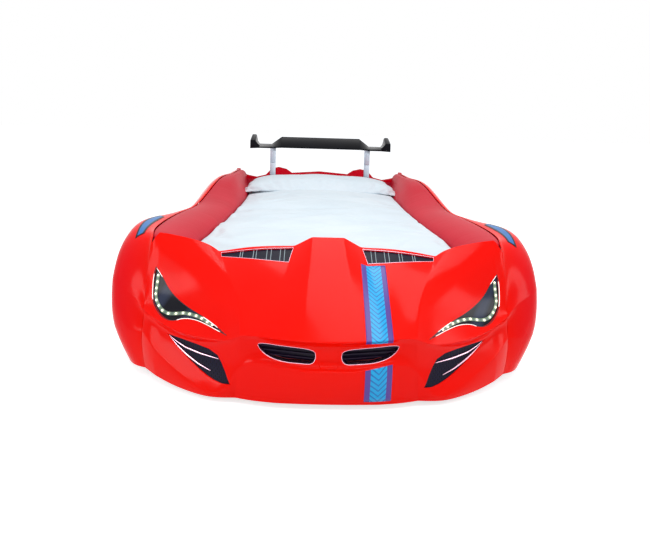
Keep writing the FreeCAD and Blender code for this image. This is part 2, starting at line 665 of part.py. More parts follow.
def corner_bracket(y_corner, towards):
    """A steel angle in a bottom corner of the box of boards."""
    low = FOOT_HEIGHT + 30
    on_side = box((BOARD_IN - BRACKET_THICK, min(y_corner, y_corner + towards * BRACKET_LEG), low),
                  (BOARD_IN, max(y_corner, y_corner + towards * BRACKET_LEG), low + BRACKET_HEIGHT))
    on_end = box((BOARD_IN - BRACKET_LEG, min(y_corner, y_corner + towards * BRACKET_THICK), low),
                 (BOARD_IN, max(y_corner, y_corner + towards * BRACKET_THICK), low + BRACKET_HEIGHT))
    return on_side.fuse(on_end).removeSplitter()


BOLT_HEAD = 7.0


def board_bolts():
    """Bolt heads on the foot board, into the ends of the side boards."""
    heads = []
    for share in (0.25, 0.55, 0.85):
        z = FOOT_HEIGHT + share * (SIDE_BOARD_TOP - FOOT_HEIGHT)
        centre = Vec((BOARD_IN + BOARD_OUT) / 2, FOOT_BOARD_OUT, z)
        head = Part.makeCylinder(BOLT_HEAD, BOLT_HEAD / 2, centre, Vec(0, -1, 0))
        heads += both_sides(head)
    return heads


SPACER_LONG = 44.0
SPACER_SPOTS = ((-765, 130), (-765, 300), (-200, 80), (-200, 280), (50, 80), (50, 280), (320, 80),
                (320, 300), (960, 110), (960, 290))


def skin_spacer(y_drawn, z_drawn):
    """A block from the side board out to the inside of the side skin."""
    y = along(y_drawn)
    z = upward(z_drawn)
    ends = []
    for y_edge in (y - SPACER_LONG / 2, y + SPACER_LONG / 2):
        for z_edge in (z - BOARD / 2, z + BOARD / 2):
            ends.append(SIDE.reach(SKIN + FIT_GAP, Vec(0, y_edge, z_edge), ALONG_X).x)
    return box((BOARD_OUT, y - SPACER_LONG / 2, z - BOARD / 2),
               (min(ends), y + SPACER_LONG / 2, z + BOARD / 2))


# Wheels

WHEEL_FACE_X = across(670) - WHEEL_FACE_INSET
WHEEL_BACK_X = WHEEL_FACE_X - TYRE_WIDTH
DISC_THICK = 10.0
DISC_FACE_X = WHEEL_FACE_X - 6.0
DISC_BACK_X = DISC_FACE_X - DISC_THICK
TYRE_SHOULDER = 9.0
RIM_INSET = 4.0
SPOKE_HALF_ANGLE = math.radians(14)
CAP_HEIGHT = 6.0
WHEEL_BOLT_HEIGHT = 4.0
LINER_GAP = 0.5


def turned(profile, axle_y):
    """A profile of radius and x, turned round a wheel's axle."""
    wire = polygon([Vec(x, axle_y, AXLE_Z + radius) for radius, x in profile])
    return Part.Face(wire).revolve(Vec(0, axle_y, AXLE_Z), ALONG_X, 360)


def tyre(axle_y):
    shoulder = TYRE_SHOULDER
    bead = RIM_RADIUS + FIT_GAP
    profile = [(bead, WHEEL_BACK_X + shoulder), (bead + shoulder, WHEEL_BACK_X),
               (TYRE_RADIUS - 2 * shoulder, WHEEL_BACK_X), (TYRE_RADIUS, WHEEL_BACK_X + shoulder),
               (TYRE_RADIUS, WHEEL_FACE_X - shoulder), (TYRE_RADIUS - 2 * shoulder, WHEEL_FACE_X),
               (bead + shoulder, WHEEL_FACE_X), (bead, WHEEL_FACE_X - shoulder)]
    return turned(profile, axle_y)


def rim(axle_y):
    """A barrel and a spoked face, turned in one and with the windows between the spokes cut through."""
    inner = RIM_RADIUS - RIM_WALL
    bore = HUB_RADIUS / 2
    barrel_back = WHEEL_BACK_X + RIM_INSET
    barrel_face = WHEEL_FACE_X - RIM_INSET
    wheel = turned([(bore, DISC_BACK_X), (inner, DISC_BACK_X), (inner, barrel_back),
                    (RIM_RADIUS, barrel_back), (RIM_RADIUS, barrel_face), (inner, barrel_face),
                    (inner, DISC_FACE_X), (bore, DISC_FACE_X)], axle_y)
    windows = []
    hub = BOLT_CIRCLE + 2 * BOLT_RADIUS
    edge = inner - 3
    for number in range(SPOKE_COUNT):
        middle = 2 * math.pi * (number + 0.5) / SPOKE_COUNT + math.pi / 2
        half = math.pi / SPOKE_COUNT - SPOKE_HALF_ANGLE
        corners = [(hub, middle), (edge - 2, middle - half), (edge, middle), (edge - 2, middle + half)]
        points = [on_wheel(DISC_BACK_X - 1, axle_y, r, angle) for r, angle in corners]
        windows.append(prism(points, Vec(DISC_THICK + 2, 0, 0)))
    return wheel.cut(windows)


def on_wheel(x, axle_y, radius, angle):
    return Vec(x, axle_y + radius * math.cos(angle), AXLE_Z + radius * math.sin(angle))


def hub_cap(axle_y):
    cap = Part.makeCylinder(HUB_RADIUS, CAP_HEIGHT, Vec(DISC_FACE_X, axle_y, AXLE_Z), ALONG_X)
    rim_edge = [edge for edge in cap.Edges if edge.BoundBox.XMin > DISC_FACE_X + CAP_HEIGHT - 1]
    return cap.makeFillet(2.5, rim_edge)


def wheel_bolts(axle_y):
    heads = []
    for number in range(SPOKE_COUNT):
        angle = 2 * math.pi * number / SPOKE_COUNT + math.pi / 2
        centre = on_wheel(DISC_FACE_X, axle_y, BOLT_CIRCLE, angle)
        heads.append(Part.makeCylinder(BOLT_RADIUS, WHEEL_BOLT_HEIGHT, centre, ALONG_X))
    return heads


def wheel_mount(axle_y):
    """A stub that the rim is bolted to, with a round flange against the side board."""
    centre = Vec(BOARD_OUT, axle_y, AXLE_Z)
    stub = Part.makeCylinder(STUB_RADIUS, DISC_BACK_X - BOARD_OUT, centre, ALONG_X)
    flange = Part.makeCylinder(1.6 * STUB_RADIUS, BOARD / 2, centre, ALONG_X)
    return stub.fuse(flange).removeSplitter()


def arch_liner(axle_y):
    """A bent strip that lines the wheel arch from the side board out to the skin."""
    outer = arch_cutter(ARCH_RADIUS - LINER_GAP, axle_y)
    inner = arch_cutter(ARCH_RADIUS - LINER_GAP - LINER, axle_y)
    to_board = Vec(-STUB_RADIUS, 0, 0)
    outer.translate(to_board)
    inner.translate(to_board)
    span = box((BOARD_OUT, axle_y - FAR, upward(26)), (WHEEL_FACE_X - RIM_INSET, axle_y + FAR, 2 * FAR))
    return outer.cut(inner).common(span)


def for_wheels(make):
    """Every wheel's copy of a piece: both axles, both sides."""
    made = []
    for axle_y in (FRONT_AXLE_Y, REAR_AXLE_Y):
        pieces = make(axle_y)
        for piece in pieces if isinstance(pieces, list) else [pieces]:
            made += both_sides(piece)
    return made


# Inserts in the nose

def bonnet_vent():
    """A dark tray behind the opening, with louvres that run back to front."""
    tray = NOSE.sheet(SKIN + FIT_GAP, SKIN + FIT_GAP + INSERT, BEHIND_VENT)
    tray = tray.common(facing_up(grown(BONNET_VENT_XY, INSERT_BORDER - 1)))
    front, back = LOUVRES_Y
    louvres = [facing_up([(low, front), (high, front), (high, back), (low, back)])
               for low, high in LOUVRES_X]
    bars = NOSE.sheet(1.0, SKIN + FIT_GAP + INSERT / 2, BEHIND_VENT)
    bars = bars.common(facing_up(grown(BONNET_VENT_XY, -1.0))).common(Part.makeCompound(louvres))
    return tray.fuse(bars.Solids)


def nostril_plan(front, back):
    """A slab across the nostril, between two distances behind the plane of the nose there."""
    (x_in, y_in), (x_out, y_out) = NOSTRIL_PLAN
    corners = [(x_in, y_in, front), (x_out, y_out, front), (x_out, y_out, back), (x_in, y_in, back)]
    outline = [Vec(across(x), along(y) + behind, upward(100)) for x, y, behind in corners]
    return prism(outline, Vec(0, 0, 150))


def nostril_trim():
    return band(NOSTRIL_XZ, FIT_GAP, 3.0).common(nostril_plan(1.5, 26))


def nostril_mesh():
    """A plate at the back of the nostril with slanted bars pressed in across it."""
    inside = facing_nose(grown(NOSTRIL_XZ, -3.3))
    plate = inside.common(nostril_plan(23, 25.5))
    bars = [facing_nose([(25, z), (200, z + 8), (200, z + 11), (25, z + 3)]) for z in NOSTRIL_BARS_Z]
    raised = inside.common(nostril_plan(15, 24)).common(Part.makeCompound(bars))
    return plate.fuse(raised.Solids)


def intake_mesh():
    sheet = NOSE.sheet(SKIN + FIT_GAP, SKIN + FIT_GAP + INSERT, BEHIND_INTAKE)
    return sheet.common(facing_nose(grown(INTAKE_XZ, INSERT_BORDER)))


def intake_blades():
    sheet = NOSE.sheet(0.5, SKIN, BEHIND_INTAKE)
    inside = facing_nose(grown(INTAKE_XZ, -FIT_GAP))
    return [widest(sheet.common(facing_nose(blade)).common(inside)) for blade in INTAKE_BLADES_XZ]


def headlight_pan():
    sheet = NOSE.sheet(SKIN + FIT_GAP, SKIN + FIT_GAP + INSERT, BEHIND_LIGHT)
    return sheet.common(facing_nose(grown(HEADLIGHT_XZ, INSERT_BORDER)))


def headlight_trim():
    return NOSE.sheet(-0.8, SKIN, BEHIND_LIGHT).common(band(HEADLIGHT_XZ, FIT_GAP, FIT_GAP + TRIM_WIDTH))


def led_strip():
    """A narrow ribbon that follows the diodes along the outer and lower edge of the headlight."""
    path = Part.makePolygon([Vec(x, z, 0) for x, z in DIODES_XZ])
    ribbon = path.makeOffset2D(STRIP_WIDTH / 2, 2, False, False, False)
    outline = [(vertex.X, vertex.Y) for vertex in ribbon.OrderedVertexes]
    inside = facing_nose(grown(HEADLIGHT_XZ, -TRIM_WIDTH - 2 * FIT_GAP))
    return NOSE.sheet(SKIN - STRIP_THICK, SKIN, BEHIND_LIGHT).common(facing_nose(outline)).common(inside)


LENS_STEM = 1.6
LENS_DOME = 1.4


def leds():
    """One domed lens on each diode, standing square on the skin."""
    lamps = []
    base = NOSE.surface(SKIN - STRIP_THICK - FIT_GAP)
    for x, z in DIODES_XZ:
        sight = Part.Line(Vec(across(x), 0, upward(z)), Vec(across(x), -1, upward(z)))
        spots = [Vec(hit.X, hit.Y, hit.Z) for hit in base.intersect(sight)[0]]
        spot = min(spots, key=lambda found: found.y)
        outward = base.normal(*base.parameter(spot))
        if outward.y > 0:
            outward = outward * -1
        stem = Part.makeCylinder(DIODE_RADIUS, LENS_STEM, spot, outward)
        tip = spot + outward * LENS_STEM
        dome = Part.makeCone(DIODE_RADIUS, DIODE_RADIUS / 2, LENS_DOME, tip, outward)
        lamps.append(stem.fuse(dome).removeSplitter())
    return lamps


TAB_HEIGHT = 2.4


def badge_tab():
    return widest(NOSE.sheet(-TAB_HEIGHT, -2 * FIT_GAP, ON_LEDGE).common(facing_up(TAB_XY)))


def fender_vent():
    return widest(SIDE.sheet(-1.6, -FIT_GAP, ON_FENDER).common(facing_up(FENDER_VENT_XY)))


# Wing

POST_BACK_Y = HEAD_BOARD_IN
POST_TOP = upward(626)


def wing_section(x, drawn):
    return polygon([Vec(x, along(y), upward(z)) for y, z in drawn])


FIN_INSET = 50.0
FIN_LOW = 650.0
BOSS_MARGIN = 3.0


def spoiler_wing():
    """A bent blade, raised in the middle, with a fin at each end and a boss over each post."""
    end = WING_SPAN / 2 - FIN_INSET
    raised, lowered = WING_STEPS
    sections = [(-end, WING_OUTER), (-lowered, WING_OUTER), (-raised, WING_MIDDLE), (raised, WING_MIDDLE),
                (lowered, WING_OUTER), (end, WING_OUTER)]
    blade = Part.makeLoft([wing_section(x, drawn) for x, drawn in sections], True, True)
    shift = WING_SPAN / 2 - WING_FIN[-1][0]
    lowered_tips = [(x, z if z < FIN_LOW else FIN_LOW + (z - FIN_LOW) * 0.35) for x, z in WING_FIN]
    front = [Vec(x + shift, along(1004), upward(z)) for x, z in lowered_tips]
    back = [Vec(x + shift, along(1112), upward(z)) for x, z in WING_FIN]
    fin = Part.makeLoft([polygon(front), polygon(back)], True, True)
    half = POST_WIDTH / 2 + BOSS_MARGIN
    boss = box((POST_SPREAD - half, POST_BACK_Y - POST_THICK - 5, POST_TOP),
               (POST_SPREAD + half, POST_BACK_Y + 5, upward(637)))
    return blade.fuse(both_sides(fin) + both_sides(boss)).removeSplitter()


def wing_post():
    """A flat aluminium bar from the joint up into the underside of the wing."""
    return box((POST_SPREAD - POST_WIDTH / 2, POST_BACK_Y - POST_THICK, POST_JOINT + 0.5),
               (POST_SPREAD + POST_WIDTH / 2, POST_BACK_Y, POST_TOP))


def post_foot():
    """The bar's lower length, screwed flat to the head board."""
    return box((POST_SPREAD - POST_WIDTH / 2, POST_BACK_Y - POST_THICK, POST_FOOT_BOTTOM),
               (POST_SPREAD + POST_WIDTH / 2, POST_BACK_Y, POST_JOINT))


SCREW_HEAD = 4.5
SCREWS_UP = (6.5, 18.0)


def post_screws():
    heads = []
    for above in SCREWS_UP:
        centre = Vec(POST_SPREAD, POST_BACK_Y - POST_THICK, POST_FOOT_BOTTOM + above)
        heads += both_sides(Part.makeCylinder(SCREW_HEAD, SCREW_HEAD / 2, centre, Vec(0, -1, 0)))
    return heads


# Soft pieces

def rail_value(y, rail, column):
    """A value of a rail at a drawn length, in proportion between its two nearest entries."""
    for first, second in zip(rail, rail[1:]):
        if y <= second[0] or second is rail[-1]:
            share = (y - first[0]) / (second[0] - first[0])
            return first[column] + share * (second[column] - first[column])


def skin_edge_at(y):
    """Where the side skin's top edge is at a length along the bed."""
    edge = SIDE.surface(0).uIso(0.0)
    low = edge.FirstParameter
    high = edge.LastParameter
    for _ in range(40):
        middle = (low + high) / 2
        if edge.value(middle).y < y:
            low = middle
        else:
            high = middle
    return edge.value(low)


def pad_wire(y_drawn):
    """A flat seat on the side board, a short inner face and a crowned top that rises to the skin's edge."""
    y = along(y_drawn)
    outer = skin_edge_at(y)
    inner_x = across(rail_value(y_drawn, PAD_RAIL, 1))
    inner_z = upward(rail_value(y_drawn, PAD_RAIL, 2))
    seat = SIDE_BOARD_TOP + FIT_GAP
    outer_x = outer.x - PAD_GAP
    toe = Vec(inner_x, y, seat)
    lip = Vec(inner_x, y, inner_z)
    crest = Vec(outer_x, y, outer.z - 1)
    under = Vec(outer_x - 1.5, y, outer.z - 26)
    heel = Vec(BOARD_OUT + 2, y, seat)
    rise = crest - lip
    crown = Vec(-rise.z, 0, rise.x).normalize() * (0.1 * rise.Length)
    top = Part.Arc(lip, (lip + crest) * 0.5 + crown, crest).toShape()
    return Part.Wire([Part.makeLine(toe, lip), top, Part.makeLine(crest, under),
                      Part.makeLine(under, heel), Part.makeLine(heel, toe)])


PAD_STATIONS = (-775, -640, -450, -250, -100, 30, 140, 250, 350, 450, 640, 860, 1000, 1084)


def side_pad():
    return Part.makeLoft([pad_wire(y) for y in PAD_STATIONS], True, False)


def mattress():
    half = MATTRESS_WIDTH / 2
    block = box((-half, FOOT_Y, BASE_TOP + FIT_GAP), (half, HEAD_Y, MATTRESS_TOP))
    return block.makeFillet(MATTRESS_EDGE_ROUND, block.Edges)


def duvet(lift=0.0, widen=0.0):
    """A low crowned blanket between the pads. Lifted and widened, it is the pillow's room underneath."""
    wires = []
    for y_drawn, middle, edge in DUVET_HEIGHTS:
        half = across(rail_value(y_drawn, PAD_RAIL, 1)) - DUVET_GAP + widen
        y = along(y_drawn)
        bottom = MATTRESS_TOP + FIT_GAP
        left = Vec(-half, y, upward(edge) + lift)
        right = Vec(half, y, upward(edge) + lift)
        top = Part.Arc(left, Vec(0, y, upward(middle) + lift), right).toShape()
        wires.append(Part.Wire([top, Part.makeLine(right, Vec(half, y, bottom)),
                                Part.makeLine(Vec(half, y, bottom), Vec(-half, y, bottom)),
                                Part.makeLine(Vec(-half, y, bottom), left)]))
    return Part.makeLoft(wires, True, True)


def pillow():
    wires = []
    for x_drawn, front, back, bottom, top in PILLOW_SECTIONS:
        x = across(x_drawn)
        y_front = along(front)
        y_back = along(back)
        y_middle = (y_front + y_back) / 2
        side = (top - bottom) * 0.3 + 4
        low = upward(bottom)
        high = upward(top)
        front_low = Vec(x, y_front, low + side)
        front_high = Vec(x, y_front, low + side + 8)
        back_low = Vec(x, y_back, low + side)
        back_high = Vec(x, y_back, low + side + 8)
        over = Part.Arc(front_high, Vec(x, y_middle, max(high, low + side + 11)), back_high).toShape()
        under = Part.Arc(back_low, Vec(x, y_middle, low), front_low).toShape()
        wires.append(Part.Wire([over, Part.makeLine(back_high, back_low), under,
                                Part.makeLine(front_low, front_high)]))
    stuffed = Part.makeLoft(wires, True, False)
    return widest(stuffed.cut(duvet(0.4, 60.0)))


def save(name, shapes):
    solids = []
    for shape in shapes if isinstance(shapes, list) else [shapes]:
        solids += shape.Solids
    shape = solids[0] if len(solids) == 1 else Part.makeCompound(solids)
    shape.exportStep(os.path.join("parts", name + ".step"))


def save_pair(name, make):
    """The right-hand piece and its mirror image, as two parts."""
    right = make()
    right = right if isinstance(right, list) else [right]
    save(name + "_right", right)
    save(name + "_left", [mirrored(shape) for shape in right])


os.makedirs("parts", exist_ok=True)
save("front_shell", front_shell())
save_pair("side_skin", side_skin)
save("rear_skin", rear_skin())
save_pair("side_board", side_board)
save("foot_board", foot_board())
save("head_board", head_board())
save("centre_beam", centre_beam())
save("centre_legs", centre_legs())
save("slat_rails", both_sides(slat_rail()))
save("slats", slats())
save("bonnet_ribs", both_sides(bonnet_rib()))
save("bumper_rail", bumper_rail())
spacers = []
for spot in SPACER_SPOTS:
    spacers += both_sides(skin_spacer(*spot))
save("skin_spacers", spacers)
brackets = [corner_bracket(FOOT_BOARD_IN, 1), corner_bracket(HEAD_BOARD_IN, -1)]
save("corner_brackets", both_sides(brackets[0]) + both_sides(brackets[1]))
save("board_bolts", board_bolts())
save("feet", feet())
save("mattress", mattress())
save("duvet", duvet())
save("pillow", pillow())
save_pair("side_pad", side_pad)
save("spoiler_wing", spoiler_wing())
save_pair("wing_post", wing_post)
save("post_feet", both_sides(post_foot()))
save("post_screws", post_screws())
save_pair("bonnet_vent", bonnet_vent)
save_pair("nostril_trim", nostril_trim)
save_pair("nostril_mesh", nostril_mesh)
save_pair("intake_mesh", intake_mesh)
save_pair("intake_blades", intake_blades)
save_pair("headlight_pan", headlight_pan)
save_pair("headlight_trim", headlight_trim)
save_pair("led_strip", led_strip)
save_pair("leds", leds)
save("badge_tab", badge_tab())
save_pair("fender_vent", fender_vent)
for place_name, axle in (("front", FRONT_AXLE_Y), ("rear", REAR_AXLE_Y)):
    save("tyres_" + place_name, both_sides(tyre(axle)))
    save("rims_" + place_name, both_sides(rim(axle)))
    save("arch_liners_" + place_name, both_sides(arch_liner(axle)))
save("hub_caps", for_wheels(hub_cap))
save("wheel_bolts", for_wheels(wheel_bolts))
save("wheel_mounts", for_wheels(wheel_mount))
save("control_box", control_box())
save("rocker_switch", rocker_switch())
save("dc_inlet", dc_inlet())
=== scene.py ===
# Children's car bed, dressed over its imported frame: metres, the same axes as the source, nose at -Y.
import math

import bmesh
import bpy
import numpy as np
from mathutils import Matrix, Vector
from mathutils.geometry import delaunay_2d_cdt


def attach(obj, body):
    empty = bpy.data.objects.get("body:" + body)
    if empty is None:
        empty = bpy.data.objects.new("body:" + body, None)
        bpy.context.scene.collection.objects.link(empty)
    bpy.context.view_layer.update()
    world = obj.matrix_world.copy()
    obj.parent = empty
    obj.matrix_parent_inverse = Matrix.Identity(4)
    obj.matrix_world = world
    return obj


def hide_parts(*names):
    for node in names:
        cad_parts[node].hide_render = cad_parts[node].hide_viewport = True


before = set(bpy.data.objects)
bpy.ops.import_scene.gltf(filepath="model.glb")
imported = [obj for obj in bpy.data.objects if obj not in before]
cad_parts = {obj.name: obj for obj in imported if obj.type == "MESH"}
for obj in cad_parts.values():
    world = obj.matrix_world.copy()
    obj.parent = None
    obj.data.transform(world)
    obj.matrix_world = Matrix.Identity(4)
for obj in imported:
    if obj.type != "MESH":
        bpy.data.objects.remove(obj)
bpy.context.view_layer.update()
MM = 0.001


# Camera. The photograph was taken from a little above the bonnet, straight ahead of the nose and
# slightly to its left, with the camera tipped down and turned a degree or two about its own axis.
FRAME_WIDTH, FRAME_HEIGHT = 650.0, 551.0
FOCAL_LENGTH = 603.7
OPTICAL_ROW = 212.8
SENSOR_WIDTH = 36.0
CAMERA_PLACE = (-0.064, -2.631, 0.752)


def degrees(angle):
    """An angle in degrees as radians."""
    return math.radians(angle)


def camera():
    """Looks along yaw and pitch, rolled about that line. The focal length and the row of the optical axis
    are in pixels of the frame."""
    yaw, pitch, roll = degrees(1.61), degrees(8.0), degrees(1.69)
    ahead = Vector((math.sin(yaw) * math.cos(pitch), math.cos(yaw) * math.cos(pitch), -math.sin(pitch)))
    aside = Vector((math.cos(yaw), -math.sin(yaw), 0.0))
    above = aside.cross(ahead)
    right = aside * math.cos(roll) + above * math.sin(roll)
    up = above * math.cos(roll) - aside * math.sin(roll)
    turn = Matrix((right, up, -ahead)).transposed().to_4x4()
    data = bpy.data.cameras.new("camera")
    data.sensor_width = SENSOR_WIDTH
    data.lens = SENSOR_WIDTH * FOCAL_LENGTH / FRAME_WIDTH
    data.shift_y = (OPTICAL_ROW - FRAME_HEIGHT / 2) / FRAME_WIDTH
    made = bpy.data.objects.new("camera", data)
    made.matrix_world = Matrix.Translation(CAMERA_PLACE) @ turn
    bpy.context.scene.collection.objects.link(made)
    bpy.context.scene.camera = made


camera()
bpy.context.scene.view_settings.view_transform = "Standard"


# Studio. A plain pale floor under a pale sky, with soft lamps over and beside the bonnet, as in a
# product photograph. The camera sees floor and sky as white, and the floor keeps the shadow.
def ink(code):
    """An sRGB hex colour as linear red, green, blue and one."""
    parts = [int(code[at:at + 2], 16) / 255.0 for at in (1, 3, 5)]
    return [part / 12.92 if part <= 0.04045 else ((part + 0.055) / 1.055) ** 2.4 for part in parts] + [1.0]


def add(tree, kind, settings=None, inputs=None):
    """Adds one node with its settings. An input is a value, or another node's output that is linked to it."""
    made = tree.nodes.new(kind)
    for name, value in (settings or {}).items():
        setattr(made, name, value)
    for name, value in (inputs or {}).items():
        if isinstance(value, bpy.types.NodeSocket):
            tree.links.new(value, made.inputs[name])
        else:
            made.inputs[name].default_value = value
    return made


def clouded(tree, scale, detail, low, high):
    """A colour that wanders between two inks with a noise on object coordinates. The noise and the
    coordinates come with it, for what else follows them."""
    coords = add(tree, "ShaderNodeTexCoord").outputs["Object"]
    noise = add(tree, "ShaderNodeTexNoise",
                inputs={"Vector": coords, "Scale": scale, "Detail": detail}).outputs["Fac"]
    tone = add(tree, "ShaderNodeMix", {"data_type": "RGBA"}, {0: noise, 6: ink(low), 7: ink(high)}).outputs[2]
    return tone, noise, coords


def finish(name, shader):
    """A material whose surface is what the given function builds in its node tree."""
    made = bpy.data.materials.new(name)
    made.use_nodes = True
    tree = made.node_tree
    tree.nodes.clear()
    surface = shader(tree)
    add(tree, "ShaderNodeOutputMaterial", inputs={"Surface": surface})
    return made


def to_camera(tree):
    """One where the camera looks, straight, in a gloss or through glass, and nought for all other light."""
    path = add(tree, "ShaderNodeLightPath").outputs
    straight = add(tree, "ShaderNodeMath", {"operation": "MAXIMUM"},
                   {0: path["Is Camera Ray"], 1: path["Is Transmission Ray"]}).outputs[0]
    return add(tree, "ShaderNodeMath", {"operation": "MAXIMUM"},
               {0: straight, 1: path["Is Glossy Ray"]}).outputs[0]


def pale_floor(tree):
    """A matt white floor that shows a little brighter to the camera than the lamps make it."""
    tone = clouded(tree, 3.0, 2.0, "#F2F3F4", "#F7F7F7")[0]
    matt = add(tree, "ShaderNodeBsdfDiffuse", inputs={"Color": tone}).outputs[0]
    lift = add(tree, "ShaderNodeEmission", inputs={"Color": ink("#FFFFFF"), "Strength": 0.72}).outputs[0]
    both = add(tree, "ShaderNodeAddShader", inputs={0: matt, 1: lift}).outputs[0]
    return add(tree, "ShaderNodeMixShader", inputs={0: to_camera(tree), 1: matt, 2: both}).outputs[0]


FLOOR_REACH = 60.0


def floor():
    """A square so wide that its far edge never shows as a grey line."""
    corners = [(x * FLOOR_REACH, y * FLOOR_REACH, 0) for x, y in ((-1, -1), (1, -1), (1, 1), (-1, 1))]
    mesh = bpy.data.meshes.new("floor")
    mesh.from_pydata(corners, [], [(0, 1, 2, 3)])
    made = bpy.data.objects.new("floor", mesh)
    mesh.materials.append(finish("studio_floor_matt", pale_floor))
    bpy.context.scene.collection.objects.link(made)


def sky():
    """A soft grey-white dome for light and reflections, pure white where the camera looks at it."""
    world = bpy.data.worlds.new("studio")
    world.use_nodes = True
    tree = world.node_tree
    tree.nodes.clear()
    dome = add(tree, "ShaderNodeBackground", inputs={"Color": ink("#E4E8EE"), "Strength": 0.54}).outputs[0]
    white = add(tree, "ShaderNodeBackground", inputs={"Color": ink("#FFFFFF"), "Strength": 1.0}).outputs[0]
    both = add(tree, "ShaderNodeMixShader", inputs={0: to_camera(tree), 1: dome, 2: white}).outputs[0]
    add(tree, "ShaderNodeOutputWorld", inputs={"Surface": both})
    bpy.context.scene.world = world


def soft_lamp(name, place, target, size, power):
    """A white rectangle of light at a place, turned to its target: metres and watts."""
    data = bpy.data.lights.new(name, "AREA")
    data.shape = "RECTANGLE"
    data.size, data.size_y = size
    data.energy = power
    made = bpy.data.objects.new(name, data)
    made.location = place
    made.rotation_euler = (Vector(target) - Vector(place)).to_track_quat("-Z", "Y").to_euler()
    bpy.context.scene.collection.objects.link(made)


floor()
sky()
soft_lamp("lamp_over", (0.3, -0.4, 2.8), (0.0, -0.5, 0.3), (2.6, 1.3), 41.0)
soft_lamp("lamp_left", (-2.6, -2.2, 1.5), (0.0, -0.6, 0.3), (0.6, 1.8), 20.0)
soft_lamp("lamp_right", (2.9, -1.6, 1.6), (0.0, -0.5, 0.3), (0.6, 1.8), 15.0)
soft_lamp("lamp_front", (0.0, -2.0, 1.42), (0.0, -1.1, 0.2), (1.5, 0.25), 5.0)


# Boards and base. Lacquered fibreboards box the mattress in; a slatted base of raw pine rests on
# rails inside them, with a centre beam on three legs. Zinc-plated brackets and bolts hold the corners.
def rough_red_board(tree):
    """Lacquered fibreboard: a deep satin red with a faint orange peel from the spray."""
    tone, _, coords = clouded(tree, 6.0, 3.0, "#C1082C", "#D20A32")
    peel = add(tree, "ShaderNodeTexNoise", inputs={"Vector": coords, "Scale": 500.0, "Detail": 1.0})
    bump = add(tree, "ShaderNodeBump",
               inputs={"Height": peel.outputs["Fac"], "Strength": 0.06, "Distance": 0.0005})
    return add(tree, "ShaderNodeBsdfPrincipled",
               inputs={"Base Color": tone, "Roughness": 0.38, "Normal": bump.outputs[0]}).outputs[0]


def pine(tree):
    """Planed pine: grain lines about 5 mm apart that run along the timber, with darker late wood."""
    coords = add(tree, "ShaderNodeTexCoord").outputs["Object"]
    along = add(tree, "ShaderNodeMapping", inputs={"Vector": coords, "Scale": (1.2, 12.0, 12.0)}).outputs[0]
    grain = add(tree, "ShaderNodeTexNoise",
                inputs={"Vector": along, "Scale": 14.0, "Detail": 5.0, "Distortion": 0.8})
    rings = add(tree, "ShaderNodeMapRange",
                inputs={"Value": grain.outputs["Fac"], "From Min": 0.35, "From Max": 0.7})
    tone = add(tree, "ShaderNodeMix", {"data_type": "RGBA"},
               {0: rings.outputs[0], 6: ink("#EBD2A2"), 7: ink("#CFA566")}).outputs[2]
    bump = add(tree, "ShaderNodeBump",
               inputs={"Height": grain.outputs["Fac"], "Strength": 0.15, "Distance": 0.001})
    return add(tree, "ShaderNodeBsdfPrincipled",
               inputs={"Base Color": tone, "Roughness": 0.6, "Normal": bump.outputs[0]}).outputs[0]


def zinc_plate(tree):
    """Zinc-plated steel: grey metal with a soft blotched tarnish."""
    tone, blotch = clouded(tree, 60.0, 3.0, "#B9BCC2", "#D6D8DC")[:2]
    rough = add(tree, "ShaderNodeMapRange",
                inputs={"Value": blotch, "To Min": 0.25, "To Max": 0.45})
    return add(tree, "ShaderNodeBsdfPrincipled",
               inputs={"Base Color": tone, "Metallic": 1.0, "Roughness": rough.outputs[0]}).outputs[0]


def black_rubber(tree):
    """Moulded black rubber: dull, with a fine matt grain."""
    tone, grain = clouded(tree, 900.0, 2.0, "#17171A", "#26262A")[:2]
    bump = add(tree, "ShaderNodeBump",
               inputs={"Height": grain, "Strength": 0.2, "Distance": 0.0004})
    return add(tree, "ShaderNodeBsdfPrincipled",
               inputs={"Base Color": tone, "Roughness": 0.75, "Normal": bump.outputs[0]}).outputs[0]


def dress(material, *names):
    """Gives CAD pieces that keep their shape a better material."""
    for name in names:
        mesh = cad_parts[name].data
        mesh.materials.clear()
        mesh.materials.append(material)


ZINC = finish("steel_zinc_plated", zinc_plate)
dress(finish("fibreboard_lacquered", rough_red_board), "side_board_left", "side_board_right", "foot_board",
      "head_board")
dress(finish("pine_planed", pine), "centre_beam", "centre_legs", "slat_rails", "slats", "bonnet_ribs",
      "bumper_rail", "skin_spacers")
dress(ZINC, "corner_brackets", "board_bolts", "post_screws")
dress(finish("rubber_moulded", black_rubber), "feet")


# Moulded nose. One glossy red skin of vacuum-formed ABS, 4 mm thick, from the bonnet's rear edge over
# the brow to the chin. It is screwed to the ribs, with openings for lamps, nostrils, intakes and vents.
# Rails across the right half of the nose, as x, y and z in millimetres, from the bonnet to the chin
BONNET_EDGE = [(0, -790, 416), (50, -790, 416), (104, -790, 387), (225, -793, 385), (334, -802, 367),
               (364, -800, 388), (412, -800, 403), (473, -795, 414), (518, -790, 419), (532, -802, 402),
               (541, -806, 384)]
BONNET_VENT = [(0, -872, 370), (52, -872, 369), (120, -886, 342), (225, -868, 345), (322, -850, 350),
               (352, -848, 362), (412, -848, 366), (470, -842, 362), (512, -836, 356), (531, -832, 346),
               (541, -832, 336)]
BONNET_MIDDLE = [(0, -955, 318), (60, -955, 317), (130, -950, 306), (215, -935, 303), (285, -915, 316),
                 (320, -905, 318), (400, -890, 306), (465, -876, 292), (512, -862, 282), (532, -856, 276),
                 (543, -856, 270)]
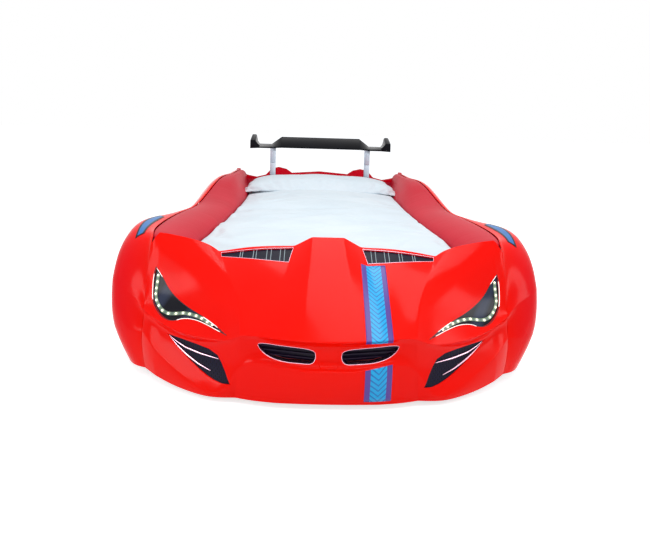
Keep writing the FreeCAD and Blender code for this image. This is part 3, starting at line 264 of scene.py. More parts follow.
BONNET_FRONT = [(0, -1050, 258), (68, -1048, 257), (140, -1040, 251), (208, -1020, 246), (248, -1005, 258),
                (290, -990, 250), (385, -950, 226), (465, -912, 214), (515, -884, 214), (534, -876, 216),
                (544, -874, 216)]
BROW = [(0, -1122, 197), (65, -1120, 198), (135, -1112, 201), (205, -1090, 203), (238, -1080, 196),
        (283, -1056, 171), (360, -1020, 167), (440, -975, 173), (500, -925, 188), (532, -900, 199),
        (546, -886, 205)]
UNDER_BROW = [(0, -1100, 180), (65, -1098, 180), (135, -1091, 183), (205, -1080, 186), (240, -1072, 176),
              (285, -1046, 154), (352, -1006, 146), (432, -956, 150), (497, -908, 170), (532, -888, 182),
              (547, -876, 190)]
RECESS = [(0, -1100, 130), (65, -1098, 131), (135, -1091, 140), (205, -1079, 155), (240, -1070, 132),
          (282, -1048, 105), (345, -1012, 95), (420, -970, 112), (492, -922, 138), (531, -900, 152),
          (547, -884, 156)]
LEDGE = [(0, -1122, 116), (65, -1121, 117), (135, -1113, 124), (205, -1092, 136), (245, -1076, 100),
         (300, -1070, 34), (350, -1052, 42), (428, -1002, 68), (496, -950, 104), (531, -916, 130),
         (548, -894, 140)]
CHIN = [(0, -1124, 75), (65, -1123, 75), (135, -1114, 76), (205, -1094, 76), (245, -1080, 60),
        (300, -1076, 26), (350, -1058, 28), (432, -1008, 40), (498, -958, 60), (528, -928, 76),
        (545, -908, 80)]
CHIN_EDGE = [(0, -1106, 20), (65, -1105, 20), (135, -1101, 20), (200, -1090, 20), (250, -1072, 20),
             (305, -1070, 18), (350, -1052, 16), (430, -1004, 20), (492, -962, 32), (518, -936, 36),
             (532, -920, 37)]
# Rails, and places either side of the middle, that bend tightly, with how near their twins stand
SHARP_RAILS = {4: 0.10, 7: 0.12}
SHARP_FROM_MIDDLE = {1: 0.15, 2: 0.15, 4: 0.12, 8: 0.2}
SKIN = 4 * MM
# Openings on the right in millimetres: the first three as x and z, the bonnet's as x and y
HEADLIGHT = [(276, 187), (303, 191), (337, 199), (375, 205), (413, 202), (436, 193), (462, 190),
             (487, 196), (508, 211), (521, 230), (524, 257), (524, 299), (517, 325), (491, 297),
             (473, 272), (448, 251), (406, 231), (361, 219), (319, 206)]
NOSTRIL = [(31, 146), (42, 129), (71, 130), (123, 133), (166, 145), (190, 165), (192, 184), (116, 178),
           (37, 172)]
INTAKE = [(468, 150), (390, 146.5), (309, 135.5), (283, 98.5), (261, 56.5), (300, 57), (345, 72),
          (400, 101), (440, 128)]
BONNET_OPENING = [(106, -798), (118, -864), (324, -830), (328, -809)]


def creased(net, sharp_rows, sharp_columns):
    """Sets a near copy of the neighbouring points on each side of a sharp row or column, for a tight bend."""
    for sharp in (sharp_rows, sharp_columns):
        lines = []
        for index, line in enumerate(net):
            if index in sharp:
                lines += [line + (net[index - 1] - line) * sharp[index], line,
                          line + (net[index + 1] - line) * sharp[index]]
            else:
                lines.append(line)
        net = np.array(lines).transpose(1, 0, 2)
    return net


def moved_in(net, depth):
    """Moves each control point by depth times the mean normal of the faces round it, over that mean's
    squared length."""
    least = 0.4
    down, aside = np.diff(net, axis=0), np.diff(net, axis=1)
    no_row, no_column = np.full((1, net.shape[1], 3), np.nan), np.full((net.shape[0], 1, 3), np.nan)
    downs = [np.concatenate([down, no_row]), np.concatenate([no_row, down])]
    asides = [np.concatenate([aside, no_column], 1), np.concatenate([no_column, aside], 1)]
    faces = np.array([np.cross(one, other) for one in asides for other in downs])
    faces /= np.linalg.norm(faces, axis=-1, keepdims=True)
    mean = np.nanmean(faces, axis=0)
    return net + depth * mean / np.maximum((mean ** 2).sum(-1, keepdims=True), least)


def weights(count, at):
    """Cubic B-spline weights of a clamped row of control points, by the rising recursion over degree."""
    knots = np.concatenate([np.zeros(3), np.arange(count - 2), np.full(3, count - 3)]).astype(float)
    at = np.clip(at, 0.0, count - 3 - 1e-9)[:, None]
    part = ((at >= knots[:-1]) & (at < knots[1:])).astype(float)
    for degree in (1, 2, 3):
        span = knots[degree:] - knots[:-degree]
        share = np.where(span > 0, 1.0 / np.where(span > 0, span, 1.0), 0.0)
        rising = (at - knots[:-degree - 1]) * share[:-1]
        falling = (knots[degree + 1:] - at) * share[1:]
        part = rising * part[:, :-1] + falling * part[:, 1:]
    return part


def on_net(net, u, v):
    """Points of the surface: the net's points times the row weights at u and the column weights at v."""
    return np.einsum("pi,ijk,pj->pk", weights(net.shape[0], u), net, weights(net.shape[1], v), optimize=True)


def unit(vectors):
    """Each vector over its own length."""
    return vectors / np.maximum(np.linalg.norm(vectors, axis=-1, keepdims=True), 1e-12)


def outward(net, u, v):
    """Unit normals: the cross product of the surface's slopes down the rows and along the columns."""
    near = 2e-3
    down = on_net(net, u + near, v) - on_net(net, u - near, v)
    aside = on_net(net, u, v + near) - on_net(net, u, v - near)
    return unit(np.cross(down, aside))


def find_on(net, places, axes, u_range, v_range):
    """The parameters where the surface stands at given places on two axes: Newton steps, each at most 0.3,
    from the nearest point of a coarse grid."""
    near, farthest = 1e-3, 0.3
    rows, columns, rounds = 90, 160, 12
    grid = np.meshgrid(np.linspace(*u_range, rows), np.linspace(*v_range, columns), indexing="ij")
    u, v = [line.ravel() for line in grid]
    coarse = on_net(net, u, v)[:, axes]
    nearest = ((coarse[None] - places[:, None]) ** 2).sum(-1).argmin(1)
    u, v = u[nearest], v[nearest]
    for _ in range(rounds):
        miss = places - on_net(net, u, v)[:, axes]
        by_u = (on_net(net, u + near, v) - on_net(net, u - near, v))[:, axes] / (2 * near)
        by_v = (on_net(net, u, v + near) - on_net(net, u, v - near))[:, axes] / (2 * near)
        area = by_u[:, 0] * by_v[:, 1] - by_u[:, 1] * by_v[:, 0]
        area = np.where(np.abs(area) > 1e-9, area, 1e-9)
        step_u = (miss[:, 0] * by_v[:, 1] - miss[:, 1] * by_v[:, 0]) / area
        step_v = (by_u[:, 0] * miss[:, 1] - by_u[:, 1] * miss[:, 0]) / area
        u = np.clip(u + np.clip(step_u, -farthest, farthest), *u_range)
        v = np.clip(v + np.clip(step_v, -farthest, farthest), *v_range)
    return np.stack([u, v], 1)


def rounded(outline, sharp=(), times=2):
    """Cuts each corner of a closed outline a quarter along both its sides, save the sharp ones."""
    points = np.array(outline, float)
    keep = np.isin(np.arange(len(points)), sharp)
    for _ in range(times):
        before, after = np.roll(points, 1, 0), np.roll(points, -1, 0)
        pairs = np.stack([points * 0.75 + before * 0.25, points * 0.75 + after * 0.25], 1)
        chosen = np.repeat(np.ones(len(points), bool)[:, None], 2, 1)
        pairs[keep] = points[keep][:, None]
        chosen[keep, 1] = False
        keep = np.stack([keep, np.zeros(len(keep), bool)], 1)[chosen]
        points = pairs[chosen]
    return points


def divided(outline, spacing, closed=True):
    """Even steps of about the given spacing along each side of an outline."""
    ends = np.roll(outline, -1, 0) if closed else outline[1:]
    starts = outline if closed else outline[:-1]
    made = []
    for start, end in zip(starts, ends):
        count = max(1, round(float(np.linalg.norm(end - start)) / spacing))
        made.append(start + (end - start) * np.linspace(0.0, 1.0, count, endpoint=False)[:, None])
    return np.concatenate(made if closed else made + [outline[-1:]])


def grown(outline, margin):
    """Moves each side of a closed outline out by a margin, along the mean of its two sides' normals."""
    side = unit(np.roll(outline, -1, 0) - outline)
    normal = np.stack([side[:, 1], -side[:, 0]], 1)
    after = np.roll(outline, -1, 0)
    turn = np.sign((outline[:, 0] * after[:, 1] - outline[:, 1] * after[:, 0]).sum())
    mean = unit(normal + np.roll(normal, 1, 0))
    return outline + turn * margin * mean


def inside(loop, points):
    """True for the points that a line to the right of them leads out of the loop an odd number of times."""
    a, b = loop[None], np.roll(loop, -1, 0)[None]
    x, y = points[:, 0:1], points[:, 1:2]
    crosses = (a[..., 1] > y) != (b[..., 1] > y)
    rise = np.where(b[..., 1] != a[..., 1], b[..., 1] - a[..., 1], 1.0)
    at = a[..., 0] + (y - a[..., 1]) * (b[..., 0] - a[..., 0]) / rise
    return (crosses & (x < at)).sum(1) % 2 == 1


def rim_of(number):
    """The points round the edge of a grid, once round from its first corner."""
    return np.concatenate([number[0], number[1:-1, -1], number[-1, ::-1], number[-2:0:-1, 0]])


def even_lines(spans, steps):
    """The parameter from nought over all of a net's spans, with so many even steps to each span."""
    return np.linspace(0, spans, spans * steps + 1)


def grid_faces(number):
    """A quad of point numbers for each cell of a grid."""
    return np.stack([number[:-1, :-1], number[1:, :-1], number[1:, 1:], number[:-1, 1:]], -1)


def trimmed(u_lines, v_lines, loops, keep_inside):
    """A grid of quads over u and v. Round each loop the cells give way to triangles whose sides lie on it."""
    rows, columns = len(u_lines), len(v_lines)
    cells_round, least_gap = (-3, 2), 0.16
    spots = np.stack([line.ravel() for line in np.meshgrid(u_lines, v_lines, indexing="ij")], 1)
    index = np.arange(rows * columns).reshape(rows, columns)
    whole = np.full((rows - 1, columns - 1), not keep_inside)
    triangles = []
    for loop in loops:
        top, bottom = np.searchsorted(u_lines, [loop[:, 0].min(), loop[:, 0].max()]) + cells_round
        left, right = np.searchsorted(v_lines, [loop[:, 1].min(), loop[:, 1].max()]) + cells_round
        top, left = max(top, 0), max(left, 0)
        bottom, right = min(bottom, rows - 1), min(right, columns - 1)
        whole[top:bottom, left:right] = False
        block = index[top:bottom + 1, left:right + 1]
        border = rim_of(block)
        cell = np.array([u_lines[bottom] - u_lines[top], v_lines[right] - v_lines[left]]) / np.array(
            [bottom - top, right - left])
        inner = block[1:-1, 1:-1].ravel()
        gap = (((spots[inner][:, None] - loop[None]) / cell) ** 2).sum(-1).min(1)
        inner = inner[(gap > least_gap) & (inside(loop, spots[inner]) == keep_inside)]
        old = np.concatenate([border, inner])
        places = np.concatenate([spots[old], loop])
        ring = np.arange(len(border))
        around = np.arange(len(loop)) + len(old)
        edges = np.concatenate([np.stack([line, np.roll(line, -1)], 1) for line in (ring, around)])
        found = delaunay_2d_cdt([Vector(place) for place in places / cell], edges.tolist(), [], 0, 1e-6, True)
        source = np.array([min(sources, default=len(old)) for sources in found[3]])
        known = source < len(old)
        numbers = np.where(known, old[np.minimum(source, len(old) - 1)], len(spots) + np.cumsum(~known) - 1)
        spots = np.concatenate([spots, np.array(found[0])[~known] * cell])
        corners = numbers[np.array(found[2])]
        middles = spots[corners].mean(1)
        triangles.append(corners[inside(loop, middles) == keep_inside])
    quads = grid_faces(index)[whole]
    triangles = np.concatenate(triangles)
    a, b, c = spots[triangles].transpose(1, 0, 2)
    turned = np.cross(b - a, c - a) < 0
    triangles[turned] = triangles[turned][:, ::-1]
    used, packed = np.unique(np.concatenate([quads.ravel(), triangles.ravel()]), return_inverse=True)
    return spots[used], packed[:quads.size].reshape(-1, 4), packed[quads.size:].reshape(-1, 3)


def closed_sheet(outer, normals, inner, inner_normals, quads, triangles, lip):
    """The outer face, the inner face turned round, and a wall between their edges that starts as a quarter
    round."""
    sides = np.concatenate([np.stack([quads, np.roll(quads, -1, 1)], -1).reshape(-1, 2),
                            np.stack([triangles, np.roll(triangles, -1, 1)], -1).reshape(-1, 2)])
    size, lip_steps = len(outer), 5
    alone = sides[~np.isin(sides[:, 0] * size + sides[:, 1], sides[:, 1] * size + sides[:, 0])]
    tangent = np.zeros_like(outer)
    np.add.at(tangent, alone[:, 0], unit(outer[alone[:, 1]] - outer[alone[:, 0]]))
    np.add.at(tangent, alone[:, 1], unit(outer[alone[:, 1]] - outer[alone[:, 0]]))
    away = unit(np.cross(unit(tangent), normals))
    edge = np.unique(alone)
    to_inner = unit(inner[edge] - outer[edge])
    turns = np.linspace(0.0, math.pi / 2, lip_steps)
    rings = [outer[edge] + away[edge] * lip * math.sin(turn) + to_inner * lip * (1 - math.cos(turn))
             for turn in turns]
    rings.append(inner[edge] + away[edge] * lip)
    ring_normals = [unit(normals[edge] * math.cos(turn) + away[edge] * math.sin(turn)) for turn in turns]
    ring_normals.append(away[edge])
    order = np.zeros(size, int)
    order[edge] = np.arange(len(edge))
    a, b = order[alone[:, 0]], order[alone[:, 1]]
    points = np.concatenate([outer] + rings[1:] + [inner])
    ring_start = [None] + [size + number * len(edge) for number in range(len(rings) - 1)]
    inner_start = size + (len(rings) - 1) * len(edge)
    walls, wall_normals = [], []
    for number in range(1, len(rings)):
        upper_a = alone[:, 0] if number == 1 else ring_start[number - 1] + a
        upper_b = alone[:, 1] if number == 1 else ring_start[number - 1] + b
        lower_a, lower_b = ring_start[number] + a, ring_start[number] + b
        walls.append(np.stack([upper_b, upper_a, lower_a, lower_b], 1))
        above, below = ring_normals[number - 1], ring_normals[number]
        wall_normals.append(np.stack([above[b], above[a], below[a], below[b]], 1))
    last = ring_start[-1]
    walls.append(np.stack([last + b, last + a, inner_start + alone[:, 0], inner_start + alone[:, 1]], 1))
    wall_normals.append(np.repeat(-normals[alone[:, 0]][:, None], 4, 1))
    all_quads = np.concatenate([quads] + walls + [quads[:, ::-1] + inner_start])
    quad_normals = np.concatenate([normals[quads]] + wall_normals + [-inner_normals[quads[:, ::-1]]])
    all_triangles = np.concatenate([triangles, triangles[:, ::-1] + inner_start])
    triangle_normals = np.concatenate([normals[triangles], -inner_normals[triangles[:, ::-1]]])
    return points, all_quads, quad_normals, all_triangles, triangle_normals


def put(name, points, quads, quad_normals, triangles, triangle_normals, material, slot, body, replaced):
    """A mesh from arrays, with the worked-out normals on its corners, that rides on a body and stands for
    CAD nodes."""
    quads, triangles = np.asarray(quads).reshape(-1, 4), np.asarray(triangles).reshape(-1, 3)
    mesh = bpy.data.meshes.new(name)
    mesh.vertices.add(len(points))
    mesh.vertices.foreach_set("co", np.asarray(points, np.float32).ravel())
    corners = np.concatenate([quads.ravel(), triangles.ravel()]).astype(np.int32)
    mesh.loops.add(len(corners))
    mesh.loops.foreach_set("vertex_index", corners)
    starts = np.concatenate([np.arange(len(quads)) * 4, quads.size + np.arange(len(triangles)) * 3])
    mesh.polygons.add(len(starts))
    mesh.polygons.foreach_set("loop_start", starts.astype(np.int32))
    mesh.update(calc_edges=True)
    mesh.polygons.foreach_set("use_smooth", np.ones(len(starts), bool))
    if quad_normals is not None:
        flat = np.concatenate([np.reshape(quad_normals, (-1, 3)), np.reshape(triangle_normals, (-1, 3))])
        mesh.normals_split_custom_set(flat.astype(np.float32))
    mesh.validate()
    mesh.materials.append(material)
    made = bpy.data.objects.new(name, mesh)
    bpy.context.scene.collection.objects.link(made)
    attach(made, body)
    if replaced:
        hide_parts(*replaced)
    return made


def nose_net():
    """The rails of the right half, and to their left the same rails with x turned round."""
    rails = [BONNET_EDGE, BONNET_VENT, BONNET_MIDDLE, BONNET_FRONT, BROW, UNDER_BROW, RECESS, LEDGE, CHIN,
             CHIN_EDGE]
    right = np.array(rails, float) * MM
    left = right[:, :0:-1] * (-1, 1, 1)
    return np.concatenate([left, right], 1)


NOSE_NET = nose_net()
MIDDLE = (NOSE_NET.shape[1] - 1) // 2
NOSE_COLUMNS = {MIDDLE + way * step: tight for step, tight in SHARP_FROM_MIDDLE.items() for way in (-1, 1)}


def nose(depth):
    """The nose's net at a depth below its outer face."""
    return creased(moved_in(NOSE_NET, depth), SHARP_RAILS, NOSE_COLUMNS)


NOSE = nose(0.0)
NOSE_U, NOSE_V = NOSE.shape[0] - 3, NOSE.shape[1] - 3
HALF_V = NOSE_V / 2
RIGHT_HALF = (HALF_V, float(NOSE_V))
WHOLE_FRONT, ON_BONNET, BELOW_BONNET = (0.0, float(NOSE_U)), (0.0, 4.0), (4.0, float(NOSE_U))
FROM_FRONT, FROM_ABOVE = [0, 2], [0, 1]


def loop_on_nose(outline, axes, u_range, net):
    """An outline of the right half as parameters on the nose, and its mirror image on the left half."""
    right = find_on(net, outline * MM, axes, u_range, RIGHT_HALF)
    return right, right * (1, -1) + (0, NOSE_V)


def on_right(net, places, axes, u_range):
    """Points and normals on the right half of a net, over places in millimetres on two axes."""
    spots = find_on(net, places * MM, axes, u_range, RIGHT_HALF)
    return on_net(net, *spots.T), outward(net, *spots.T)


def red_gloss(tree):
    """Vacuum-formed ABS, lacquered: a clear orange red, with painted shade that deepens it to crimson on the
    flanks and the tail, where less light falls, and a hard shine over a faint orange peel."""
    upper, _, coords = clouded(tree, 3.0, 2.0, "#F60602", "#FF1404")
    place = add(tree, "ShaderNodeSeparateXYZ", inputs={0: coords}).outputs
    away = add(tree, "ShaderNodeMath", {"operation": "ABSOLUTE"}, {0: place["X"]}).outputs[0]
    # Painted shade: the red is mixed towards crimson on the outer flanks and at the tail, where less light
    # falls.
    flank_painted_shade = add(tree, "ShaderNodeMapRange",
                inputs={"Value": away, "From Min": 0.55, "From Max": 0.68, "To Max": 0.7})
    tail_painted_shade = add(tree, "ShaderNodeMapRange", inputs={"Value": place["Y"], "From Min": 0.9, "From Max": 1.1})
    share = add(tree, "ShaderNodeMath", {"operation": "MAXIMUM"}, {0: flank_painted_shade.outputs[0], 1: tail_painted_shade.outputs[0]})
    tone = add(tree, "ShaderNodeMix", {"data_type": "RGBA"},
               {0: share.outputs[0], 6: upper, 7: ink("#E00020")}).outputs[2]
    peel = add(tree, "ShaderNodeTexNoise", inputs={"Vector": coords, "Scale": 260.0, "Detail": 1.0})
    bump = add(tree, "ShaderNodeBump",
               inputs={"Height": peel.outputs["Fac"], "Strength": 0.015, "Distance": 0.001})
    smear = add(tree, "ShaderNodeTexNoise", inputs={"Vector": coords, "Scale": 22.0, "Detail": 4.0})
    rough = add(tree, "ShaderNodeMapRange",
                inputs={"Value": smear.outputs["Fac"], "To Min": 0.1, "To Max": 0.17})
    return add(tree, "ShaderNodeBsdfPrincipled",
               inputs={"Base Color": tone, "Roughness": rough.outputs[0], "Normal": bump.outputs[0],
                       "Specular IOR Level": 0.08}).outputs[0]


RED_GLOSS = finish("abs_red_lacquered", red_gloss)
HEADLIGHT_EDGE = divided(rounded(HEADLIGHT, sharp=(0, 12)), 4.0)
NOSTRIL_EDGE = divided(rounded(NOSTRIL), 4.0)
INTAKE_EDGE = divided(rounded(INTAKE, sharp=(0, 4), times=1), 4.0)
OPENING_EDGE = divided(np.array(BONNET_OPENING, float), 4.0)
LOOPS = {"headlight": loop_on_nose(HEADLIGHT_EDGE, FROM_FRONT, WHOLE_FRONT, NOSE),
         "nostril": loop_on_nose(NOSTRIL_EDGE, FROM_FRONT, BELOW_BONNET, NOSE),
         "intake": loop_on_nose(INTAKE_EDGE, FROM_FRONT, BELOW_BONNET, NOSE),
         "vent": loop_on_nose(OPENING_EDGE, FROM_ABOVE, ON_BONNET, NOSE)}


def sheet_between(outer_net, inner_net, u_lines, v_lines, loops, lip, keep_inside=False):
    """A closed sheet between two nets of one layout, trimmed by loops."""
    spots, quads, triangles = trimmed(u_lines, v_lines, loops, keep_inside)
    u, v = spots.T
    return closed_sheet(on_net(outer_net, u, v), outward(outer_net, u, v), on_net(inner_net, u, v),
                        outward(inner_net, u, v), quads, triangles, lip)


def nose_skin():
    """The whole nose, a skin's thickness deep, without what lies inside the eight openings' loops."""
    loops = [loop for pair in LOOPS.values() for loop in pair]
    made = sheet_between(NOSE, nose(SKIN), even_lines(NOSE_U, 12), even_lines(NOSE_V, 7), loops, 1.6 * MM)
    put("nose_skin", *made, RED_GLOSS, "body_red", "root", ["front_shell"])


nose_skin()


# Side skins. The same lacquered ABS from the nose seam to the tail, over both wheel pods, with a waist
# between them. Each hangs on blocks on the side board, and is cut away round the wheels.
SIDE_SECTIONS = [
    [(546, -772, 412), (558, -786, 398), (568, -812, 345), (576, -838, 285), (579, -852, 240),
     (580, -864, 205), (578, -876, 165), (575, -884, 135), (562, -896, 82), (545, -908, 36)],
    [(562, -700, 411), (602, -722, 416), (644, -748, 378), (668, -784, 322), (680, -808, 265),
     (682, -824, 215), (673, -842, 165), (658, -854, 132), (622, -878, 82), (580, -897, 34)],
    [(572, -620, 411), (622, -640, 438), (655, -665, 404), (672, -700, 345), (672, -725, 275),
     (670, -735, 220), (668, -745, 165), (664, -752, 125), (655, -765, 80), (638, -770, 26)],
    [(579, -490, 409), (618, -510, 439), (655, -530, 402), (668, -540, 342), (671, -540, 278),
     (669, -540, 222), (667, -540, 165), (664, -540, 125), (660, -540, 82), (645, -540, 24)],
    [(580, -300, 405), (602, -312, 415), (636, -325, 372), (654, -330, 322), (665, -330, 272),
     (658, -330, 225), (655, -330, 170), (661, -330, 120), (663, -330, 80), (648, -330, 22)],
    [(574, -120, 400), (588, -122, 402), (615, -128, 362), (632, -130, 318), (646, -130, 272),
     (622, -130, 228), (624, -130, 172), (654, -130, 118), (660, -130, 80), (642, -130, 20)],
    [(557, 10, 395), (570, 12, 397), (605, 16, 358), (626, 20, 318), (642, 20, 275),
     (616, 20, 230), (618, 20, 172), (654, 20, 118), (660, 20, 80), (642, 20, 20)],
    [(537, 235, 446), (552, 237, 449), (596, 238, 395), (630, 240, 335), (650, 240, 285),
     (625, 240, 235), (626, 240, 175), (655, 240, 118), (660, 240, 80), (642, 240, 20)],
    [(520, 440, 491), (538, 440, 494), (598, 436, 425), (642, 432, 355), (664, 430, 292),
     (658, 430, 235), (655, 430, 172), (661, 430, 120), (663, 430, 80), (648, 430, 22)],
    [(512, 640, 490), (532, 640, 494), (600, 640, 436), (645, 640, 370), (671, 640, 295),
     (669, 640, 235), (667, 640, 170), (664, 640, 125), (660, 640, 82), (645, 640, 24)],
    [(504, 860, 478), (524, 860, 482), (590, 860, 424), (635, 860, 356), (664, 860, 290),
     (662, 860, 232), (659, 860, 170), (658, 860, 125), (653, 860, 82), (636, 860, 26)],
    [(498, 1010, 488), (516, 1010, 492), (568, 1010, 420), (608, 1010, 350), (638, 1010, 285),
     (638, 1010, 230), (636, 1010, 170), (634, 1010, 125), (628, 1010, 82), (612, 1010, 28)],
    [(493, 1098, 487), (506, 1098, 489), (545, 1098, 410), (575, 1098, 340), (598, 1098, 280),
     (602, 1098, 228), (602, 1098, 170), (600, 1098, 125), (592, 1098, 85), (580, 1098, 32)]]
SEAM = 3 * MM
ARCH_RADIUS = 182 * MM
ARCH_FOOT = 4 * MM
AXLE_Z = 168 * MM
AXLES = {"front": -540 * MM, "rear": 640 * MM}


def side_net():
    """The nose's rear edge moved out by the seam, then the sections, as rows from the pad's edge to the
    sill."""
    seam = NOSE_NET[:, -1] + (SEAM, SEAM, 0)
    sections = np.concatenate([seam[None], np.array(SIDE_SECTIONS, float) * MM])
    return sections.transpose(1, 0, 2)


SIDE_NET = side_net()


def side(depth):
    """The right side skin's net at a depth below its outer face."""
    return creased(moved_in(SIDE_NET, depth), SHARP_RAILS, {})


SIDE = side(0.0)
SIDE_U, SIDE_V = SIDE.shape[0] - 3, SIDE.shape[1] - 3


def arch_loop(axle_y):
    """Up one leg from the sill, half a turn over the wheel and down the other leg, as parameters."""
    sill_steps, arc_steps, leg_steps = 2000, 120, 30
    along = np.linspace(0, SIDE_V, sill_steps)
    sill = on_net(SIDE, np.full(sill_steps, float(SIDE_U)), along)
    feet = np.interp([axle_y - ARCH_RADIUS, axle_y + ARCH_RADIUS], sill[:, 1], along)
    low = np.interp(feet, along, sill[:, 2]) + ARCH_FOOT
    turn = np.linspace(math.pi, 0, arc_steps)
    arc = np.stack([axle_y + ARCH_RADIUS * np.cos(turn), AXLE_Z + ARCH_RADIUS * np.sin(turn)], 1)
    legs = [np.stack([np.full(leg_steps, axle_y + way * ARCH_RADIUS),
                      np.linspace(start, AXLE_Z, leg_steps, endpoint=False)], 1)
            for way, start in zip((-1, 1), low)]
    places = np.concatenate([legs[0], arc, legs[1][::-1]])
    path = find_on(SIDE, places, [1, 2], (0.0, float(SIDE_U)), (0.0, float(SIDE_V)))
    return np.concatenate([[(SIDE_U, feet[0])], path, [(SIDE_U, feet[1])]])


def mirrored(points, quads, quad_normals, triangles, triangle_normals):
    """The same piece on the other side: x changes sign and every face turns round."""
    flip = np.array((-1.0, 1.0, 1.0))
    return (points * flip, quads[:, ::-1], quad_normals[:, ::-1] * flip, triangles[:, ::-1],
            triangle_normals[:, ::-1] * flip)


def put_pair(name, right, material, slot, replaced):
    """A piece on the right and its mirror image, for a pair of CAD nodes."""
    return [put(f"{name}_{hand}", *made, material, slot, "root", [f"{replaced}_{hand}"])
            for hand, made in (("right", right), ("left", mirrored(*right)))]


def side_skins():
    """The side's whole net, a skin's thickness deep, cut away inside both wheels' arches."""
    loops = [arch_loop(axle_y) for axle_y in AXLES.values()]
    right = sheet_between(SIDE, side(SKIN), even_lines(SIDE_U, 10), even_lines(SIDE_V, 20), loops, 1.8 * MM)
    put_pair("flank_skin", right, RED_GLOSS, "body_red", "side_skin")


side_skins()


# Lamps. A smoked lens bed behind each headlight opening, a bead round the opening, and a ribbon of warm white
# diodes
#  in clear domes along its outer and lower edge. The diodes glow as lamps; the bead's glow and the ribbon's
#  light round the diodes are painted light.
DIODES = [(508, 301), (509, 282), (511, 264), (512, 248), (508, 231), (498, 218), (484, 208), (463, 204),
          (438, 208), (416, 213), (395, 214), (374, 213), (356, 210), (338, 205), (321, 201)]


def smoked_lens(tree):
    """Smoked polycarbonate: nearly black slate with a violet cast and a wet shine, with lighter slanting
    bands that are a painted reflection.
    """
    coords = add(tree, "ShaderNodeTexCoord").outputs["Object"]
    slant = add(tree, "ShaderNodeMapping",
                inputs={"Vector": coords, "Rotation": (0, degrees(-35), 0)}).outputs[0]
    # Painted reflection: slanting wave bands lighten the dark lens in stripes, in place of the shine mirrored
    # on it.
    bands = add(tree, "ShaderNodeTexWave", {"bands_direction": "X"},
                {"Vector": slant, "Scale": 3.2, "Distortion": 1.2, "Detail": 1.0})
    share = add(tree, "ShaderNodeMapRange",
                inputs={"Value": bands.outputs["Fac"], "From Min": 0.55, "From Max": 0.95})
    tone = add(tree, "ShaderNodeMix", {"data_type": "RGBA"},
               {0: share.outputs[0], 6: ink("#0E0D18"), 7: ink("#2F364C")}).outputs[2]
    return add(tree, "ShaderNodeBsdfPrincipled",
               inputs={"Base Color": tone, "Roughness": 0.12, "Specular IOR Level": 0.15}).outputs[0]


def painted_glow_bead(tree):
    """A moulded bead with painted light: white and glowing, though it is no lamp, where the mesh says that it
    is lit by the diodes.
    """
    coords = add(tree, "ShaderNodeTexCoord").outputs["Object"]
    cloud = add(tree, "ShaderNodeTexNoise", inputs={"Vector": coords, "Scale": 30.0, "Detail": 1.0})
    lit = add(tree, "ShaderNodeAttribute", {"attribute_name": "lit"}).outputs["Fac"]
    # Painted light: the bead is painted white and made to glow where it is marked lit.
    glow = add(tree, "ShaderNodeMapRange",
               inputs={"Value": cloud.outputs["Fac"], "To Min": 0.5, "To Max": 1.1})
    glow = add(tree, "ShaderNodeMath", {"operation": "MULTIPLY"}, {0: glow.outputs[0], 1: lit})
    tone = add(tree, "ShaderNodeMix", {"data_type": "RGBA"},
               {0: lit, 6: ink("#1A1020"), 7: ink("#F4EFF0")}).outputs[2]
    return add(tree, "ShaderNodeBsdfPrincipled",
               inputs={"Base Color": tone, "Roughness": 0.2, "Emission Color": ink("#FFF6EE"),
                       "Emission Strength": glow.outputs[0]}).outputs[0]


def ribbon_board(tree):
    """The diode ribbon: green grey lacquer with painted light: paler round each diode as a painted pool of
    its light, and glowing a little all over though it is no lamp. The lit share is on the mesh.
    """
    lit = add(tree, "ShaderNodeAttribute", {"attribute_name": "lit"}).outputs["Fac"]
    tone = add(tree, "ShaderNodeMix", {"data_type": "RGBA"},
               {0: lit, 6: ink("#4C6154"), 7: ink("#DDEBC4")}).outputs[2]
    return add(tree, "ShaderNodeBsdfPrincipled",
               inputs={"Base Color": tone, "Roughness": 0.35, "Emission Color": tone,
                       "Emission Strength": 0.35}).outputs[0]


def lit_dome(tree):
    """A diode's clear dome, lit: warm white, yellower in patches of about 5 mm from dome to dome."""
    tone = clouded(tree, 200.0, 1.0, "#FFFFF4", "#F8F4D0")[0]
    return add(tree, "ShaderNodeBsdfPrincipled",
               inputs={"Base Color": tone, "Roughness": 0.15, "Emission Color": tone,
                       "Emission Strength": 1.3}).outputs[0]


NO_TRIANGLES = np.zeros((0, 3), int)
QUAD_TURNED, TRIANGLE_TURNED = [0, 3, 2, 1], [0, 2, 1]


def ring_faces(here, following):
    """A quad from each side of each ring of point numbers to the same side of the following ring."""
    return np.stack([here, following, np.roll(following, -1, 1), np.roll(here, -1, 1)], -1).reshape(-1, 4)


def fan(hub, ring):
    """A triangle from a middle point to each side of a ring."""
    return np.stack([np.full(len(ring), hub), ring, np.roll(ring, -1)], 1)


def swept(path, aside, up, profile, closed):
    """A closed profile carried along a path: each ring is path + aside * a + up * b. Open paths get end
    caps."""
    rings = path[:, None] + aside[:, None] * profile[None, :, :1] + up[:, None] * profile[None, :, 1:2]
    number = np.arange(rings.shape[0] * rings.shape[1]).reshape(rings.shape[:2])
    points = rings.reshape(-1, 3)
    if closed:
        return points, ring_faces(number, np.roll(number, -1, 0)), NO_TRIANGLES
    hub = len(points)
    triangles = np.concatenate([fan(hub, number[0]), fan(hub + 1, number[-1])[:, TRIANGLE_TURNED]])
    points = np.concatenate([points, rings[[0, -1]].mean(1)])
    return points, ring_faces(number[:-1], number[1:]), triangles


